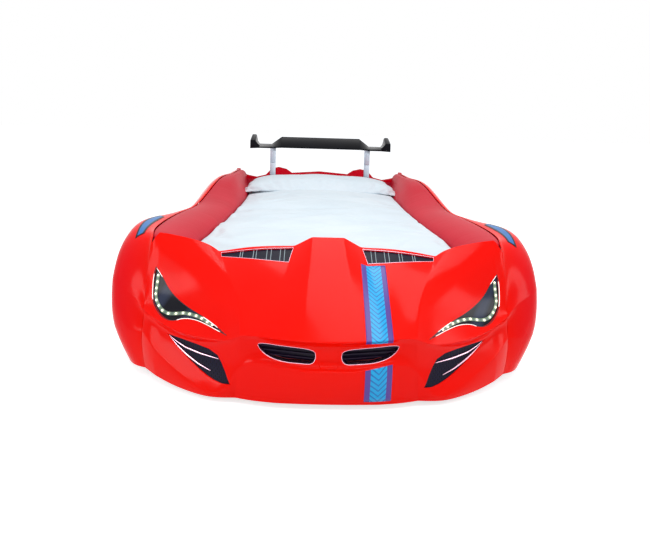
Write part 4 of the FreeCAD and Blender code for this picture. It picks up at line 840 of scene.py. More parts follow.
def merged(parts):
    """The points, quads and triangles of several parts as those of one piece."""
    starts = np.cumsum([0] + [len(points) for points, _, _ in parts])
    return (np.concatenate([points for points, _, _ in parts]),
            np.concatenate([quads + start for (_, quads, _), start in zip(parts, starts)]),
            np.concatenate([triangles + start for (_, _, triangles), start in zip(parts, starts)]))


def put_plain(name, points, quads, triangles, material, slot, replaced):
    """A piece with smooth shading, its faces turned outwards by Blender."""
    made = put(name, points, quads, None, triangles, None, material, slot, "root", replaced)
    shape = bmesh.new()
    shape.from_mesh(made.data)
    bmesh.ops.recalc_face_normals(shape, faces=shape.faces)
    shape.to_mesh(made.data)
    shape.free()
    return made


def both_hands(name, points, quads, triangles, material, slot, replaced):
    """A piece on the right and the same with x turned round on the left, each for its own CAD node."""
    made = []
    for hand, sign in (("right", 1.0), ("left", -1.0)):
        made.append(put_plain(f"{name}_{hand}", points * (sign, 1, 1), quads, triangles, material, slot,
                              [f"{node}_{hand}" for node in replaced]))
    return made


def mark(pieces, name, values):
    """Puts a number on each point of some pieces, for their material to read."""
    for piece in pieces:
        share = piece.data.attributes.new(name, "FLOAT", "POINT")
        share.data.foreach_set("value", values.astype(np.float32))


def square_to_path(place, up):
    """Unit vectors square to an open path and to its normals."""
    return unit(np.cross(unit(np.gradient(place, axis=0)), up))


def square_to_loop(spot, up):
    """Unit vectors square to a closed loop and to the given normals, turned towards the loop's middle."""
    aside = unit(np.cross(unit(np.roll(spot, -1, 0) - np.roll(spot, 1, 0)), up))
    return aside * np.sign(((spot.mean(0) - spot) * aside).sum(-1).mean())


def round_profile(width, height, count, sink=0.0):
    """An ellipse, width across and height up, lowered by sink."""
    turn = np.linspace(0, 2 * math.pi, count, endpoint=False)
    return np.stack([np.cos(turn) * width / 2, np.sin(turn) * height / 2 - sink], 1)


def smooth_path(points, spacing):
    """An even path through points: sides divided finely, then each place averaged with its neighbours."""
    step, rounds = 1.0, 60
    path = divided(np.array(points, float), step, closed=False)
    for _ in range(rounds):
        path[1:-1] = (path[:-2] + 2 * path[1:-1] + path[2:]) / 4
    length = np.concatenate([[0], np.cumsum(np.linalg.norm(np.diff(path, axis=0), axis=1))])
    at = np.linspace(0, length[-1], max(2, int(length[-1] / spacing)))
    return np.stack([np.interp(at, length, line) for line in path.T], 1)


def beads():
    """A half-round bead along the inside of each headlight's edge, proud of the skin. Painted light makes it
    glow white along the outer and the lower edge and at both tips."""
    loop, sides, inset = LOOPS["headlight"][0], 10, 1.1 * MM
    width, height, sunk = 1.8 * MM, 3.0 * MM, 0.5 * MM
    spot, up = on_net(NOSE, *loop.T), outward(NOSE, *loop.T)
    aside = square_to_loop(spot, up)
    bead = swept(spot + aside * inset, aside, up, round_profile(width, height, sides, sunk), True)
    x, z = spot[:, 0] / MM, spot[:, 2] / MM
    upper = z > np.interp(x, (300, 361, 448, 524), (197, 213, 238, 260))
    outer_edge = (x > 505) & (z > 232) & (z < 305)
    lower_edge = ~upper & (x < 432) & (x > 300)
    inner_tip = upper & (x > 306) & (x < 350)
    outer_tip = (x > 494) & (x < 512) & (z > 290)
    made = both_hands("headlight_bead", *bead, finish("bead_painted_glow", painted_glow_bead), "bright_trim",
                      ["headlight_trim"])
    mark(made, "lit", np.repeat(outer_edge | lower_edge | inner_tip | outer_tip, sides))


BED_FRONT, BED_BACK, BED_LIP = 4.4 * MM, 6.4 * MM, 0.4 * MM
ROUND_LAMP = (0.5, 7.0)


def bed(name, outline, margin, columns, axes, u_range, material, slot, replaced):
    """A thin sheet behind an opening, wider than it by a margin in millimetres, and its mirror image."""
    front, spacing = nose(BED_FRONT), 5.0
    edge = loop_on_nose(divided(grown(outline, margin), spacing), axes, u_range, front)[0]
    right = sheet_between(front, nose(BED_BACK), even_lines(NOSE_U, 8), even_lines(NOSE_V, columns), [edge],
                          BED_LIP, keep_inside=True)
    put_pair(name, right, material, slot, replaced)


def diode_ribbons():
    """A flat board with rounded shoulders along the diodes. Its lit share, for the painted pool of light, is
    a bell of the distance from the nearest diode."""
    deep, half, shoulder, bell = nose(3.2 * MM), 5.0 * MM, 4.3 * MM, 5.5 * MM
    place, up = on_right(deep, smooth_path(DIODES, 3.0), FROM_FRONT, ROUND_LAMP)
    profile = np.array([(-half, -0.5 * MM), (-half, 0.3 * MM), (-shoulder, 0.7 * MM), (0, 0.85 * MM),
                        (shoulder, 0.7 * MM), (half, 0.3 * MM), (half, -0.5 * MM)])
    board = swept(place, square_to_path(place, up), up, profile, False)
    made = both_hands("diode_ribbon", *board, finish("ribbon_painted_glow", ribbon_board), "strip",
                      ["led_strip"])
    seat, rise = on_right(deep, np.array(DIODES), FROM_FRONT, ROUND_LAMP)
    away = ((board[0][:, None] - seat[None]) ** 2).sum(-1).min(1)
    mark(made, "lit", np.exp(-away / bell ** 2))
    domes(seat, rise)


def domes(seat, rise):
    """Each dome is half an egg: rings that narrow as the cosine of their height, over its seat on the
    ribbon."""
    sides, radius, height, foot = 14, 3.1 * MM, 3.0 * MM, 0.5 * MM
    turn = np.linspace(0, 2 * math.pi, sides, endpoint=False)
    tilt = np.linspace(0, math.pi / 2, 6)[:-1]
    number = np.arange(len(tilt) * sides).reshape(-1, sides)
    top, bottom = number.size, number.size + 1
    first = unit(np.cross(rise, (0, 0, 1)))
    second = np.cross(rise, first)
    parts = []
    for at, up, one, two in zip(seat, rise, first, second):
        around = np.cos(turn)[:, None] * one + np.sin(turn)[:, None] * two
        rings = [at + up * (foot + height * math.sin(angle)) + radius * math.cos(angle) * around
                 for angle in tilt]
        parts.append((np.concatenate(rings + [[at + up * (foot + height)], [at + up * 0.2 * MM]]),
                      ring_faces(number[:-1], number[1:])[:, QUAD_TURNED],
                      np.concatenate([fan(top, number[-1]), fan(bottom, number[0])])))
    both_hands("diode_domes", *merged(parts), finish("diode_dome_lit", lit_dome), "lens", ["leds"])


beads()
bed("headlight_lens", HEADLIGHT_EDGE, 6.0, 6, FROM_FRONT, ROUND_LAMP,
    finish("polycarbonate_smoked_painted_reflection", smoked_lens), "gloss_black", "headlight_pan")
diode_ribbons()


# Grilles. Black bars and mesh behind the nostrils and the intakes, each held by a moulded frame, and a
#  dark louvred tray under each opening at the back of the bonnet. The tray's louvres show only as pale lines
#  of painted highlight along their edges, and a bright bead round each opening is a painted highlight on its
#  lip.
# Middle lines of the two blades as x and z, and the louvres' x, in millimetres
BLADES = [[(459, 147), (440, 137), (405, 124), (355, 117), (300, 115)],
          [(455, 143), (430, 124), (398, 106), (360, 90), (322, 80)]]
LOUVRES_X = (133, 146, 174, 187, 219, 228, 261, 268)
OPENING_FRONT, OPENING_INNER, OPENING_SLANT = -873, 118, 0.155


def violet_black(tree):
    """Moulded black ABS with a violet cast: half gloss, with a fine grain."""
    tone = clouded(tree, 35.0, 3.0, "#120A1C", "#221432")[0]
    return add(tree, "ShaderNodeBsdfPrincipled",
               inputs={"Base Color": tone, "Roughness": 0.28, "Specular IOR Level": 0.15}).outputs[0]


def pierced_sheet(tree):
    """Black mesh pressed from plastic sheet: round holes about 6 mm apart, a little coarse so that they show,
    each painted near-black as the shade seen through it."""
    coords = add(tree, "ShaderNodeTexCoord").outputs["Object"]
    cells = add(tree, "ShaderNodeTexVoronoi", {"feature": "F1"},
                {"Vector": coords, "Scale": 170.0, "Randomness": 0.0})
    hole_and_shade = add(tree, "ShaderNodeMapRange",
               inputs={"Value": cells.outputs["Distance"], "From Min": 0.25, "From Max": 0.42}).outputs[0]
    # Painted shade: the holes are dented by the bump and painted near-black for the shade behind them.
    tone = add(tree, "ShaderNodeMix", {"data_type": "RGBA"},
               {0: hole_and_shade, 6: ink("#030206"), 7: ink("#17142A")}).outputs[2]
    bump = add(tree, "ShaderNodeBump", inputs={"Height": hole_and_shade, "Strength": 0.6, "Distance": 0.001})
    return add(tree, "ShaderNodeBsdfPrincipled",
               inputs={"Base Color": tone, "Roughness": 0.4, "Specular IOR Level": 0.1,
                       "Normal": bump.outputs[0]}).outputs[0]


def pink_chrome(tree):
    """Bright plated plastic: a pale metal whose lilac tint is a painted reflection of the red round it, with
    small smears.
    """
    coords = add(tree, "ShaderNodeTexCoord").outputs["Object"]
    cloud = add(tree, "ShaderNodeTexNoise", inputs={"Vector": coords, "Scale": 40.0, "Detail": 2.0})
    rough = add(tree, "ShaderNodeMapRange",
                inputs={"Value": cloud.outputs["Fac"], "To Min": 0.14, "To Max": 0.3})
    # Painted reflection: the lilac base colour stands in for the red body mirrored in the plating.
    return add(tree, "ShaderNodeBsdfPrincipled",
               inputs={"Base Color": ink("#E9C6DA"), "Metallic": 1.0,
                       "Roughness": rough.outputs[0]}).outputs[0]


def slate_tray(tree):
    """The tray: satin black-violet plastic, a little dusty towards the back."""
    tone = clouded(tree, 12.0, 3.0, "#100D1C", "#1E1E30")[0]
    return add(tree, "ShaderNodeBsdfPrincipled",
               inputs={"Base Color": tone, "Roughness": 0.3, "Specular IOR Level": 0.08}).outputs[0]


def painted_highlight_line(tree):
    """A bright line along each louvre's edge: pale blue grey, a painted highlight where the edge catches the
    light.
    """
    tone = clouded(tree, 60.0, 2.0, "#8FA6AE", "#B7C8CE")[0]
    return add(tree, "ShaderNodeBsdfPrincipled", inputs={"Base Color": tone, "Roughness": 0.35}).outputs[0]


VIOLET_BLACK = finish("abs_violet_black", violet_black)
PINK_CHROME = finish("plated_painted_red_reflection", pink_chrome)


def softened(node, name, width, material, body="root"):
    """A CAD piece with its doubles merged, its flat faces joined up and its edges rounded."""
    doubles_apart = 2e-5
    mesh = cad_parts[node].data.copy()
    mesh.name = name
    made = bpy.data.objects.new(name, mesh)
    bpy.context.scene.collection.objects.link(made)
    shape = bmesh.new()
    shape.from_mesh(mesh)
    bmesh.ops.remove_doubles(shape, verts=shape.verts, dist=doubles_apart)
    bmesh.ops.dissolve_limit(shape, angle_limit=degrees(1.0), verts=shape.verts, edges=shape.edges)
    shape.to_mesh(mesh)
    shape.free()
    mesh.materials.clear()
    mesh.materials.append(material)
    mesh.polygons.foreach_set("use_smooth", np.ones(len(mesh.polygons), bool))
    round_off = made.modifiers.new("rounding", "BEVEL")
    round_off.width = width
    round_off.segments = 3
    round_off.limit_method = "ANGLE"
    round_off.angle_limit = degrees(25.0)
    round_off.harden_normals = True
    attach(made, body)
    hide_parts(node)


def nostril_frames():
    """A thin frame with a rounded front inside each opening's edge. It reaches straight back."""
    spot = on_net(NOSE, *LOOPS["nostril"][0].T)
    ahead = np.tile((0.0, -1.0, 0.0), (len(spot), 1))
    profile = np.array([(0.4, -24), (0.4, -3), (0.5, -1.9), (1.1, -1.2), (1.9, -1.2), (2.6, -1.9), (2.9, -3),
                        (2.9, -24)]) * MM
    frame_sides = swept(spot, square_to_loop(spot, ahead), ahead, profile, True)
    both_hands("nostril_frame", *frame_sides, PINK_CHROME, "bright_trim", ["nostril_trim"])


def intake_blades():
    """Two bars of light across each intake that taper as a sine to both their ends."""
    deep, width, height, sides = nose(2.0 * MM), 5.0 * MM, 3.6 * MM, 12
    parts = []
    for line in BLADES:
        place, up = on_right(deep, smooth_path(line, 4.0), FROM_FRONT, BELOW_BONNET)
        thin = np.sin(np.linspace(0.12, math.pi - 0.3, len(place)))[:, None]
        parts.append(swept(place, square_to_path(place, up) * thin, up * thin,
                           round_profile(width, height, sides), False))
    both_hands("intake_fins", *merged(parts), PINK_CHROME, "bright_trim", ["intake_blades"])


def louvres():
    """Straight ridges that run from behind the opening's slanting front edge to its rear edge: pale lines of
    painted highlight along the louvres' edges.
    """
    under, steps, behind, rear_y = nose(BED_FRONT), 24, 11, -800
    width, height, sides = 1.9 * MM, 2.4 * MM, 8
    parts = []
    for x in LOUVRES_X:
        front_y = OPENING_FRONT + OPENING_SLANT * max(x - OPENING_INNER, 0)
        rows = np.linspace(front_y + behind, rear_y, steps)
        place, up = on_right(under, np.stack([np.full(steps, float(x)), rows], 1), FROM_ABOVE, ON_BONNET)
        parts.append(swept(place, square_to_path(place, up), up, round_profile(width, height, sides), False))
    both_hands("louvre_lines", *merged(parts), finish("line_painted_highlight", painted_highlight_line), "dark_mesh", [])


def opening_highlight_beads():
    """A half-round bead of bright plated plastic along the inside of each bonnet opening's edge: a painted
    highlight that stands in for the light caught on the skin's rounded lip there.
    """
    loop, sides, inset = LOOPS["vent"][0], 8, 0.9 * MM
    width, height, sunk = 1.5 * MM, 2.4 * MM, 0.4 * MM
    spot, rise = on_net(NOSE, *loop.T), outward(NOSE, *loop.T)
    aside = square_to_loop(spot, rise)
    bead = swept(spot + aside * inset, aside, rise, round_profile(width, height, sides, sunk), True)
    both_hands("opening_highlight_bead", *bead, PINK_CHROME, "bright_trim", [])


nostril_frames()
for hand in ("right", "left"):
    softened(f"nostril_mesh_{hand}", f"nostril_bars_{hand}", 0.8 * MM, VIOLET_BLACK)
bed("intake_sheet", INTAKE_EDGE, 6.0, 5, FROM_FRONT, BELOW_BONNET, finish("sheet_pierced", pierced_sheet),
    "dark_mesh", "intake_mesh")
intake_blades()
bed("bonnet_tray", OPENING_EDGE, 5.0, 6, FROM_ABOVE, ON_BONNET, finish("abs_slate_satin", slate_tray),
    "dark_mesh", "bonnet_vent")
louvres()
opening_highlight_beads()
dress(RED_GLOSS, "badge_tab")


# Mattress. Foam in a quilted ticking, boxed in by the boards, with a corded seam round its top and
# bottom edges. Only its top edge can be seen, and only with the bedding off.
MATTRESS_HALF = 450 * MM
FOOT_Y, HEAD_Y = -815 * MM, 1085 * MM
BASE_TOP, MATTRESS_TOP = 200 * MM, 350 * MM


def ticking(tree):
    """Quilted cotton ticking: off-white, with a diamond stitch about 60 mm apart that dents the foam, and
    painted shade that darkens the cloth in the dents along the stitches.
    """
    coords = add(tree, "ShaderNodeTexCoord").outputs["Object"]
    turned = add(tree, "ShaderNodeMapping",
                 inputs={"Vector": coords, "Rotation": (0, 0, degrees(45))}).outputs[0]
    cells = add(tree, "ShaderNodeTexVoronoi", {"feature": "DISTANCE_TO_EDGE"},
                {"Vector": turned, "Scale": 17.0, "Randomness": 0.0})
    puff_and_shade = add(tree, "ShaderNodeMapRange",
               inputs={"Value": cells.outputs["Distance"], "From Max": 0.25}).outputs[0]
    # Painted shade: the cloth is painted greyer towards the stitch lines, where the dents fall into shade.
    tone = add(tree, "ShaderNodeMix", {"data_type": "RGBA"},
               {0: puff_and_shade, 6: ink("#D4D2CC"), 7: ink("#EFEDE8")}).outputs[2]
    bump = add(tree, "ShaderNodeBump", inputs={"Height": puff_and_shade, "Strength": 0.8, "Distance": 0.004})
    return add(tree, "ShaderNodeBsdfPrincipled",
               inputs={"Base Color": tone, "Roughness": 0.85, "Normal": bump.outputs[0]}).outputs[0]


def mattress():
    """Rings of a rounded rectangle, drawn in where the height passes a corded edge: each ring's reach is the
    block's half size less a quarter round, plus a cord of 3 mm at both seams. A ring is a superellipse: the
    cosine and sine, to a small power and with their signs."""
    sides, power, cord, foot_gap = 240, 0.06, 3 * MM, 0.4 * MM
    turn = np.linspace(0, 2 * math.pi, sides, endpoint=False)
    half = np.array((MATTRESS_HALF - cord, (HEAD_Y - FOOT_Y) / 2 - cord))
    middle_y = (HEAD_Y + FOOT_Y) / 2
    ring = np.stack([np.sign(np.cos(turn)) * abs(np.cos(turn)) ** power,
                     np.sign(np.sin(turn)) * abs(np.sin(turn)) ** power], 1)
    heights = BASE_TOP + foot_gap + (MATTRESS_TOP - BASE_TOP - foot_gap) * np.array(
        [0, 0.01, 0.04, 0.06, 0.08, 0.11, 0.3, 0.5, 0.7, 0.89, 0.92, 0.94, 0.96, 0.99, 1.0])
    inset = np.array([14, 6, 2, -2.4, 0.5, 1.5, 0.6, 0, 0.6, 1.5, 0.5, -2.4, 2, 6, 14]) * MM
    rows = [np.column_stack([ring * (half - step) + (0, middle_y), np.full(sides, z)])
            for step, z in zip(inset, heights)]
    number = np.arange(len(rows) * sides).reshape(-1, sides)
    hubs = np.array([(0, middle_y, heights[0]), (0, middle_y, heights[-1])])
    triangles = np.concatenate([fan(number.size, number[0])[:, TRIANGLE_TURNED],
                                fan(number.size + 1, number[-1])])
    made = put_plain("mattress_quilted", np.concatenate(rows + [hubs]),
                     ring_faces(number[:-1], number[1:])[:, QUAD_TURNED], triangles,
                     finish("ticking_quilted", ticking), "ticking", ["mattress"])


mattress()


# Side pads. Foam rolls in red leatherette along both sides of the mattress, from the bonnet to the head
# board. They sit on the side boards, and their tops rise to the rim of the car's skin.
# The pad's inner top edge as y, x and z
PAD_RAIL = np.array([(-785, 444, 366), (-620, 433, 372), (-250, 408, 380), (120, 392, 388), (440, 388, 398),
                     (700, 398, 398), (900, 412, 388), (1085, 428, 376)], float) * MM
PAD_ENDS = (-775 * MM, 1084 * MM)
PAD_SEAT = 351 * MM
PAD_HEEL_X = 475 * MM
PAD_GAP, PAD_DROP = 2.2 * MM, 1 * MM
EASE = 120 * MM


def eased(rail, y, column):
    """A rail's value at y: straight between its entries, then rounded off over a reach either way."""
    reach = np.linspace(-EASE, EASE, 25)
    return np.interp(y[:, None] + reach, rail[:, 0], rail[:, column]).mean(1)


def leatherette(tree):
    """Red leatherette on foam: a satin skin with a fine pebble grain, drawn coarse, and slack creases."""
    tone, _, coords = clouded(tree, 5.0, 2.0, "#C00824", "#D0102E")
    pebble = add(tree, "ShaderNodeTexVoronoi", {"feature": "SMOOTH_F1"}, {"Vector": coords, "Scale": 420.0})
    grain = add(tree, "ShaderNodeBump",
                inputs={"Height": pebble.outputs["Distance"], "Strength": 0.12, "Distance": 0.0006})
    drawn = add(tree, "ShaderNodeMapping", inputs={"Vector": coords, "Scale": (2.0, 9.0, 2.0)}).outputs[0]
    slack = add(tree, "ShaderNodeTexNoise",
                inputs={"Vector": drawn, "Scale": 2.2, "Detail": 3.0, "Distortion": 1.0})
    crease = add(tree, "ShaderNodeBump",
                 inputs={"Height": slack.outputs["Fac"], "Strength": 0.12, "Distance": 0.006,
                         "Normal": grain.outputs[0]})
    return add(tree, "ShaderNodeBsdfPrincipled",
               inputs={"Base Color": tone, "Roughness": 0.45, "Specular IOR Level": 0.12,
                       "Normal": crease.outputs[0]}).outputs[0]


def pad_sections(y):
    """The pad's closed outline at each y: inner wall, a rounded lip, a crowned top, the outer edge and the
    seat. The crown is a parabola over the chord, and it grows and leans outwards towards the head end. Both
    edges of the top fall away as an exponential."""
    samples, steps = 900, 30
    widest_lip, lip_share, lip_fall, outer_roll = 14 * MM, 0.7, 0.6, 5 * MM
    crown_low, crown_more, more_lean = 0.118, 0.075, 1.2
    plump_from, plump_over = 300 * MM, 500 * MM
    tuck_in, tuck_down = 1.5 * MM, 26 * MM
    edge = on_net(SIDE, np.zeros(samples), np.linspace(0, SIDE_V, samples))
    outer_x = np.interp(y, edge[:, 1], edge[:, 0]) - PAD_GAP
    outer_z = np.interp(y, edge[:, 1], edge[:, 2]) - PAD_DROP
    inner_x, inner_z = eased(PAD_RAIL, y, 1), eased(PAD_RAIL, y, 2)
    lip = np.minimum(widest_lip, lip_share * (inner_z - PAD_SEAT))
    rise = np.linspace(0, 1, 5)[:-1]
    wall = np.stack([inner_x[:, None] + 0 * rise, PAD_SEAT + (inner_z - lip - PAD_SEAT)[:, None] * rise], -1)
    chord = np.stack([outer_x - inner_x, outer_z - inner_z], 1)
    length = np.linalg.norm(chord, axis=1)
    across = np.stack([-chord[:, 1], chord[:, 0]], 1) / length[:, None]
    share = np.linspace(0, 1, steps)
    plump = np.clip((y - plump_from) / plump_over, 0, 1)[:, None]
    lean = share ** (1 + more_lean * plump)
    crown = (crown_low + crown_more * plump) * length[:, None] * 4 * lean * (1 - lean)
    start = np.stack([inner_x, inner_z], 1)
    top = start[:, None] + chord[:, None] * share[:, None] + across[:, None] * crown[..., None]
    top[..., 1] -= np.exp(-share * length[:, None] / (lip_fall * lip[:, None])) * lip[:, None]
    top[..., 1] -= np.exp(-(1 - share) * length[:, None] / outer_roll) * outer_roll
    under = np.stack([outer_x - tuck_in, outer_z - tuck_down], 1)
    heel = np.stack([np.full(len(y), PAD_HEEL_X), np.full(len(y), PAD_SEAT)], 1)
    back = [top[:, -1:] * (1 - t) + under[:, None] * t for t in (0.3, 0.65)]
    halfway = under * 0.5 + heel * 0.5
    return np.concatenate([wall, top] + back + [under[:, None], halfway[:, None], heel[:, None]], 1)


def side_pads():
    """The outlines along y, drawn in towards their middle near both ends, by the square of how near."""
    sections, end_round, drawn = 260, 14 * MM, 0.16
    y = np.linspace(*PAD_ENDS, sections)
    flat = pad_sections(y)
    middle = flat.mean(1, keepdims=True)
    end = np.minimum(y - PAD_ENDS[0], PAD_ENDS[1] - y) / end_round
    draw_in = 1 - drawn * np.clip(1 - end, 0, 1) ** 2
    lifted = middle + (flat - middle) * draw_in[:, None, None]
    lifted[..., 1] = np.maximum(lifted[..., 1], PAD_SEAT)
    rings = np.stack([lifted[..., 0], np.broadcast_to(y[:, None], lifted.shape[:2]), lifted[..., 1]], -1)
    number = np.arange(rings.shape[0] * rings.shape[1]).reshape(rings.shape[:2])
    triangles = np.concatenate([fan(number.size, number[0]),
                                fan(number.size + 1, number[-1])[:, TRIANGLE_TURNED]])
    points = np.concatenate([rings.reshape(-1, 3), rings[[0, -1]].mean(1)])
    for made in both_hands("pad_roll", points, ring_faces(number[:-1], number[1:]), triangles,
                           finish("leatherette_red", leatherette), "pad_red", ["side_pad"]):
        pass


side_pads()


# Bedding. A white cotton quilt tucked between the pads, smoothed by hand so that long slack folds run
# across it, and one plump pillow with pointed corners on top of it at the head end.
# The quilt's height at its middle and at its edge, after y
QUILT_RAIL = np.array([(-783, 366, 360), (-620, 376, 366), (-250, 390, 374), (120, 400, 382), (440, 410, 392),
                       (640, 413, 392), (860, 404, 384), (1060, 394, 370)], float) * MM
QUILT_ENDS = (-783 * MM, 1060 * MM)
QUILT_GAP = 3 * MM
# Folds in the quilt: from x, y to x, y, then half width and height, in millimetres
FOLDS = [((260, -560), (-330, -770), 34, 6), ((330, -330), (-340, -640), 30, 5),
         ((350, -60), (-250, -420), 40, 7), ((300, 210), (-120, -120), 26, 4),
         ((150, 420), (-330, 60), 34, 6), ((330, 480), (20, 250), 24, 4),
         ((-120, 520), (-360, 330), 26, 5), ((200, 590), (-60, 480), 20, 3),
         ((-200, -250), (-380, -420), 24, 4), ((380, -420), (200, -520), 22, 4),
         ((120, -640), (-60, -750), 20, 4), ((-30, 300), (-300, 230), 18, 3)]


def cotton(tree):
    """White cotton percale: a soft matt cloth with a plain weave, drawn at 2 mm so that it shows close up."""
    tone, _, coords = clouded(tree, 4.0, 4.0, "#D0DEE6", "#E6EEF2")
    weave = add(tree, "ShaderNodeTexVoronoi", {"feature": "F1"},
                {"Vector": coords, "Scale": 500.0, "Randomness": 0.1})
    thread = add(tree, "ShaderNodeBump",
                 inputs={"Height": weave.outputs["Distance"], "Strength": 0.1, "Distance": 0.0005})
    pulled = add(tree, "ShaderNodeMapping",
                 inputs={"Vector": coords, "Rotation": (0, 0, degrees(-28)),
                         "Scale": (0.35, 1.6, 1.0)}).outputs[0]
    crumple = add(tree, "ShaderNodeTexNoise",
                  inputs={"Vector": pulled, "Scale": 9.0, "Detail": 4.0, "Distortion": 1.4})
    slack = add(tree, "ShaderNodeBump",
                inputs={"Height": crumple.outputs["Fac"], "Strength": 0.6, "Distance": 0.014,
                        "Normal": thread.outputs[0]})
    return add(tree, "ShaderNodeBsdfPrincipled",
               inputs={"Base Color": tone, "Roughness": 0.9, "Sheen Weight": 0.15,
                       "Normal": slack.outputs[0]}).outputs[0]


def quilt_half(y):
    """Half the quilt's width at y: up to just short of the pads' inner edges."""
    return eased(PAD_RAIL, y, 1) - QUILT_GAP


def quilt_top(x, y):
    """An arch across the bed between its edge and middle heights at that y."""
    flat_y = y.ravel()
    edge = eased(QUILT_RAIL, flat_y, 2).reshape(y.shape)
    middle = eased(QUILT_RAIL, flat_y, 1).reshape(y.shape)
    half = quilt_half(flat_y).reshape(y.shape)
    return edge + (middle - edge) * (1 - (x / half) ** 2)


def fold_height(x, y):
    """Each fold is a ridge: its height times a bell of the distance from its line, fading at both ends. The
    line bows by half a sine, and the bell is steeper on one side."""
    bow, fade_reach, steep_side, slack_side = 22 * MM, 90 * MM, 0.55, 1.3
    total = np.zeros(x.shape)
    for start, end, width, height in FOLDS:
        start, end = np.array(start) * MM, np.array(end) * MM
        way = end - start
        length = np.hypot(*way)
        way = way / length
        along = (x - start[0]) * way[0] + (y - start[1]) * way[1]
        bend = bow * np.sin(along / length * math.pi) * (1 if height % 2 else -1)
        off = -(x - start[0]) * way[1] + (y - start[1]) * way[0] + bend
        fade = np.clip(np.minimum(along, length - along) / fade_reach, 0, 1)
        rise = np.where(off > 0, width * steep_side, width * slack_side) * MM
        total += height * MM * (fade * fade * (3 - 2 * fade)) * np.exp(-(off / rise) ** 2)
    return total


def settled(made, held, pressure, growth, frames=20):
    """Where the piece's points come to rest: cloth a little larger than its form, with air in it and no
    weight."""
    group = made.vertex_groups.new(name="held")
    group.add(held.tolist(), 1.0, "REPLACE")
    cloth = made.modifiers.new("cloth", "CLOTH")
    rules = cloth.settings
    rules.quality = 6
    rules.mass = 0.15
    rules.tension_stiffness = rules.compression_stiffness = 20.0
    rules.bending_stiffness = 1.2
    rules.vertex_group_mass = "held"
    rules.shrink_min = -growth
    rules.use_pressure = pressure > 0
    rules.uniform_pressure_force = pressure
    rules.effector_weights.gravity = 0.0
    cloth.collision_settings.use_collision = False
    cloth.point_cache.frame_end = frames
    for frame_number in range(1, frames + 1):
        bpy.context.scene.frame_set(frame_number)
    shaped = made.evaluated_get(bpy.context.evaluated_depsgraph_get()).to_mesh()
    places = np.zeros(len(shaped.vertices) * 3, np.float32)
    shaped.vertices.foreach_get("co", places)
    made.modifiers.remove(cloth)
    made.vertex_groups.remove(group)
    bpy.context.scene.frame_set(1)
    return places.reshape(-1, 3).astype(float)


def capped(start, end, limit):
    """Moves from start to end, but no farther than the limit."""
    move = end - start
    size = np.linalg.norm(move, axis=1, keepdims=True)
    return start + move * np.minimum(1, limit / np.maximum(size, 1e-9))


def settled_sheet(points, quads, held, growth, frames):
    """Where an open sheet's points come to rest, on a trial piece that is taken away again."""
    mesh = bpy.data.meshes.new("quilt_trial")
    mesh.from_pydata(points.tolist(), [], quads.tolist())
    trial = bpy.data.objects.new("quilt_trial", mesh)
    bpy.context.scene.collection.objects.link(trial)
    places = settled(trial, held, 0.0, growth, frames)
    bpy.data.objects.remove(trial)
    bpy.data.meshes.remove(mesh)
    return places


def plumped(made):
    """Rounds a soft piece off once more."""
    plump = made.modifiers.new("plump", "SUBSURF")
    plump.levels = plump.render_levels = 1


def quilt():
    """The arch with its folds, whose sides and ends fall away as an exponential, over a flat underside. A
    ring at two fifths of the height rounds the edge between them."""
    rows, columns = 150, 68
    side_fall, end_fall, end_reach = 9 * MM, 7 * MM, 10 * MM
    farthest, over_mattress = 8 * MM, 0.5 * MM
    y = np.linspace(*QUILT_ENDS, rows)[:, None] + np.zeros(columns)
    side_step = np.linspace(-1, 1, columns)
    x = quilt_half(y[:, 0])[:, None] * side_step
    z = quilt_top(x, y) + fold_height(x, y)
    edge = (1 - abs(side_step)) * quilt_half(y[:, 0])[:, None]
    ends = np.minimum(y - QUILT_ENDS[0], QUILT_ENDS[1] - y)
    z = z - side_fall * np.exp(-edge / side_fall) - end_fall * np.exp(-ends / end_reach)
    points = np.stack([x, y, z], -1).reshape(-1, 3)
    number = np.arange(rows * columns).reshape(rows, columns)
    quads = grid_faces(number).reshape(-1, 4)[:, QUAD_TURNED]
    rim = rim_of(number)
    points = capped(points, settled_sheet(points, quads, rim, 0.035, 24), farthest)
    floor_z = MATTRESS_TOP + over_mattress
    below = points * (1, 1, 0) + (0, 0, floor_z)
    middle = points[rim] * (1, 1, 0.4) + (0, 0, floor_z * 0.6)
    base = len(points)
    middle_ring = 2 * base + np.arange(len(rim))
    bands = [np.stack([one, other, np.roll(other, -1), np.roll(one, -1)], 1)
             for one, other in ((rim, middle_ring), (middle_ring, rim + base))]
    quads = np.concatenate([quads, quads[:, ::-1] + base] + bands)
    made = put_plain("quilt_cotton", np.concatenate([points, below, middle]), quads, NO_TRIANGLES, COTTON,
                     "bedding", ["duvet"])
    plumped(made)


PILLOW_MIDDLE = (0.0, 838 * MM)
PILLOW_HALF = (424 * MM, 226 * MM)
PILLOW_SEAM_Z, PILLOW_RISE = 427 * MM, 46 * MM


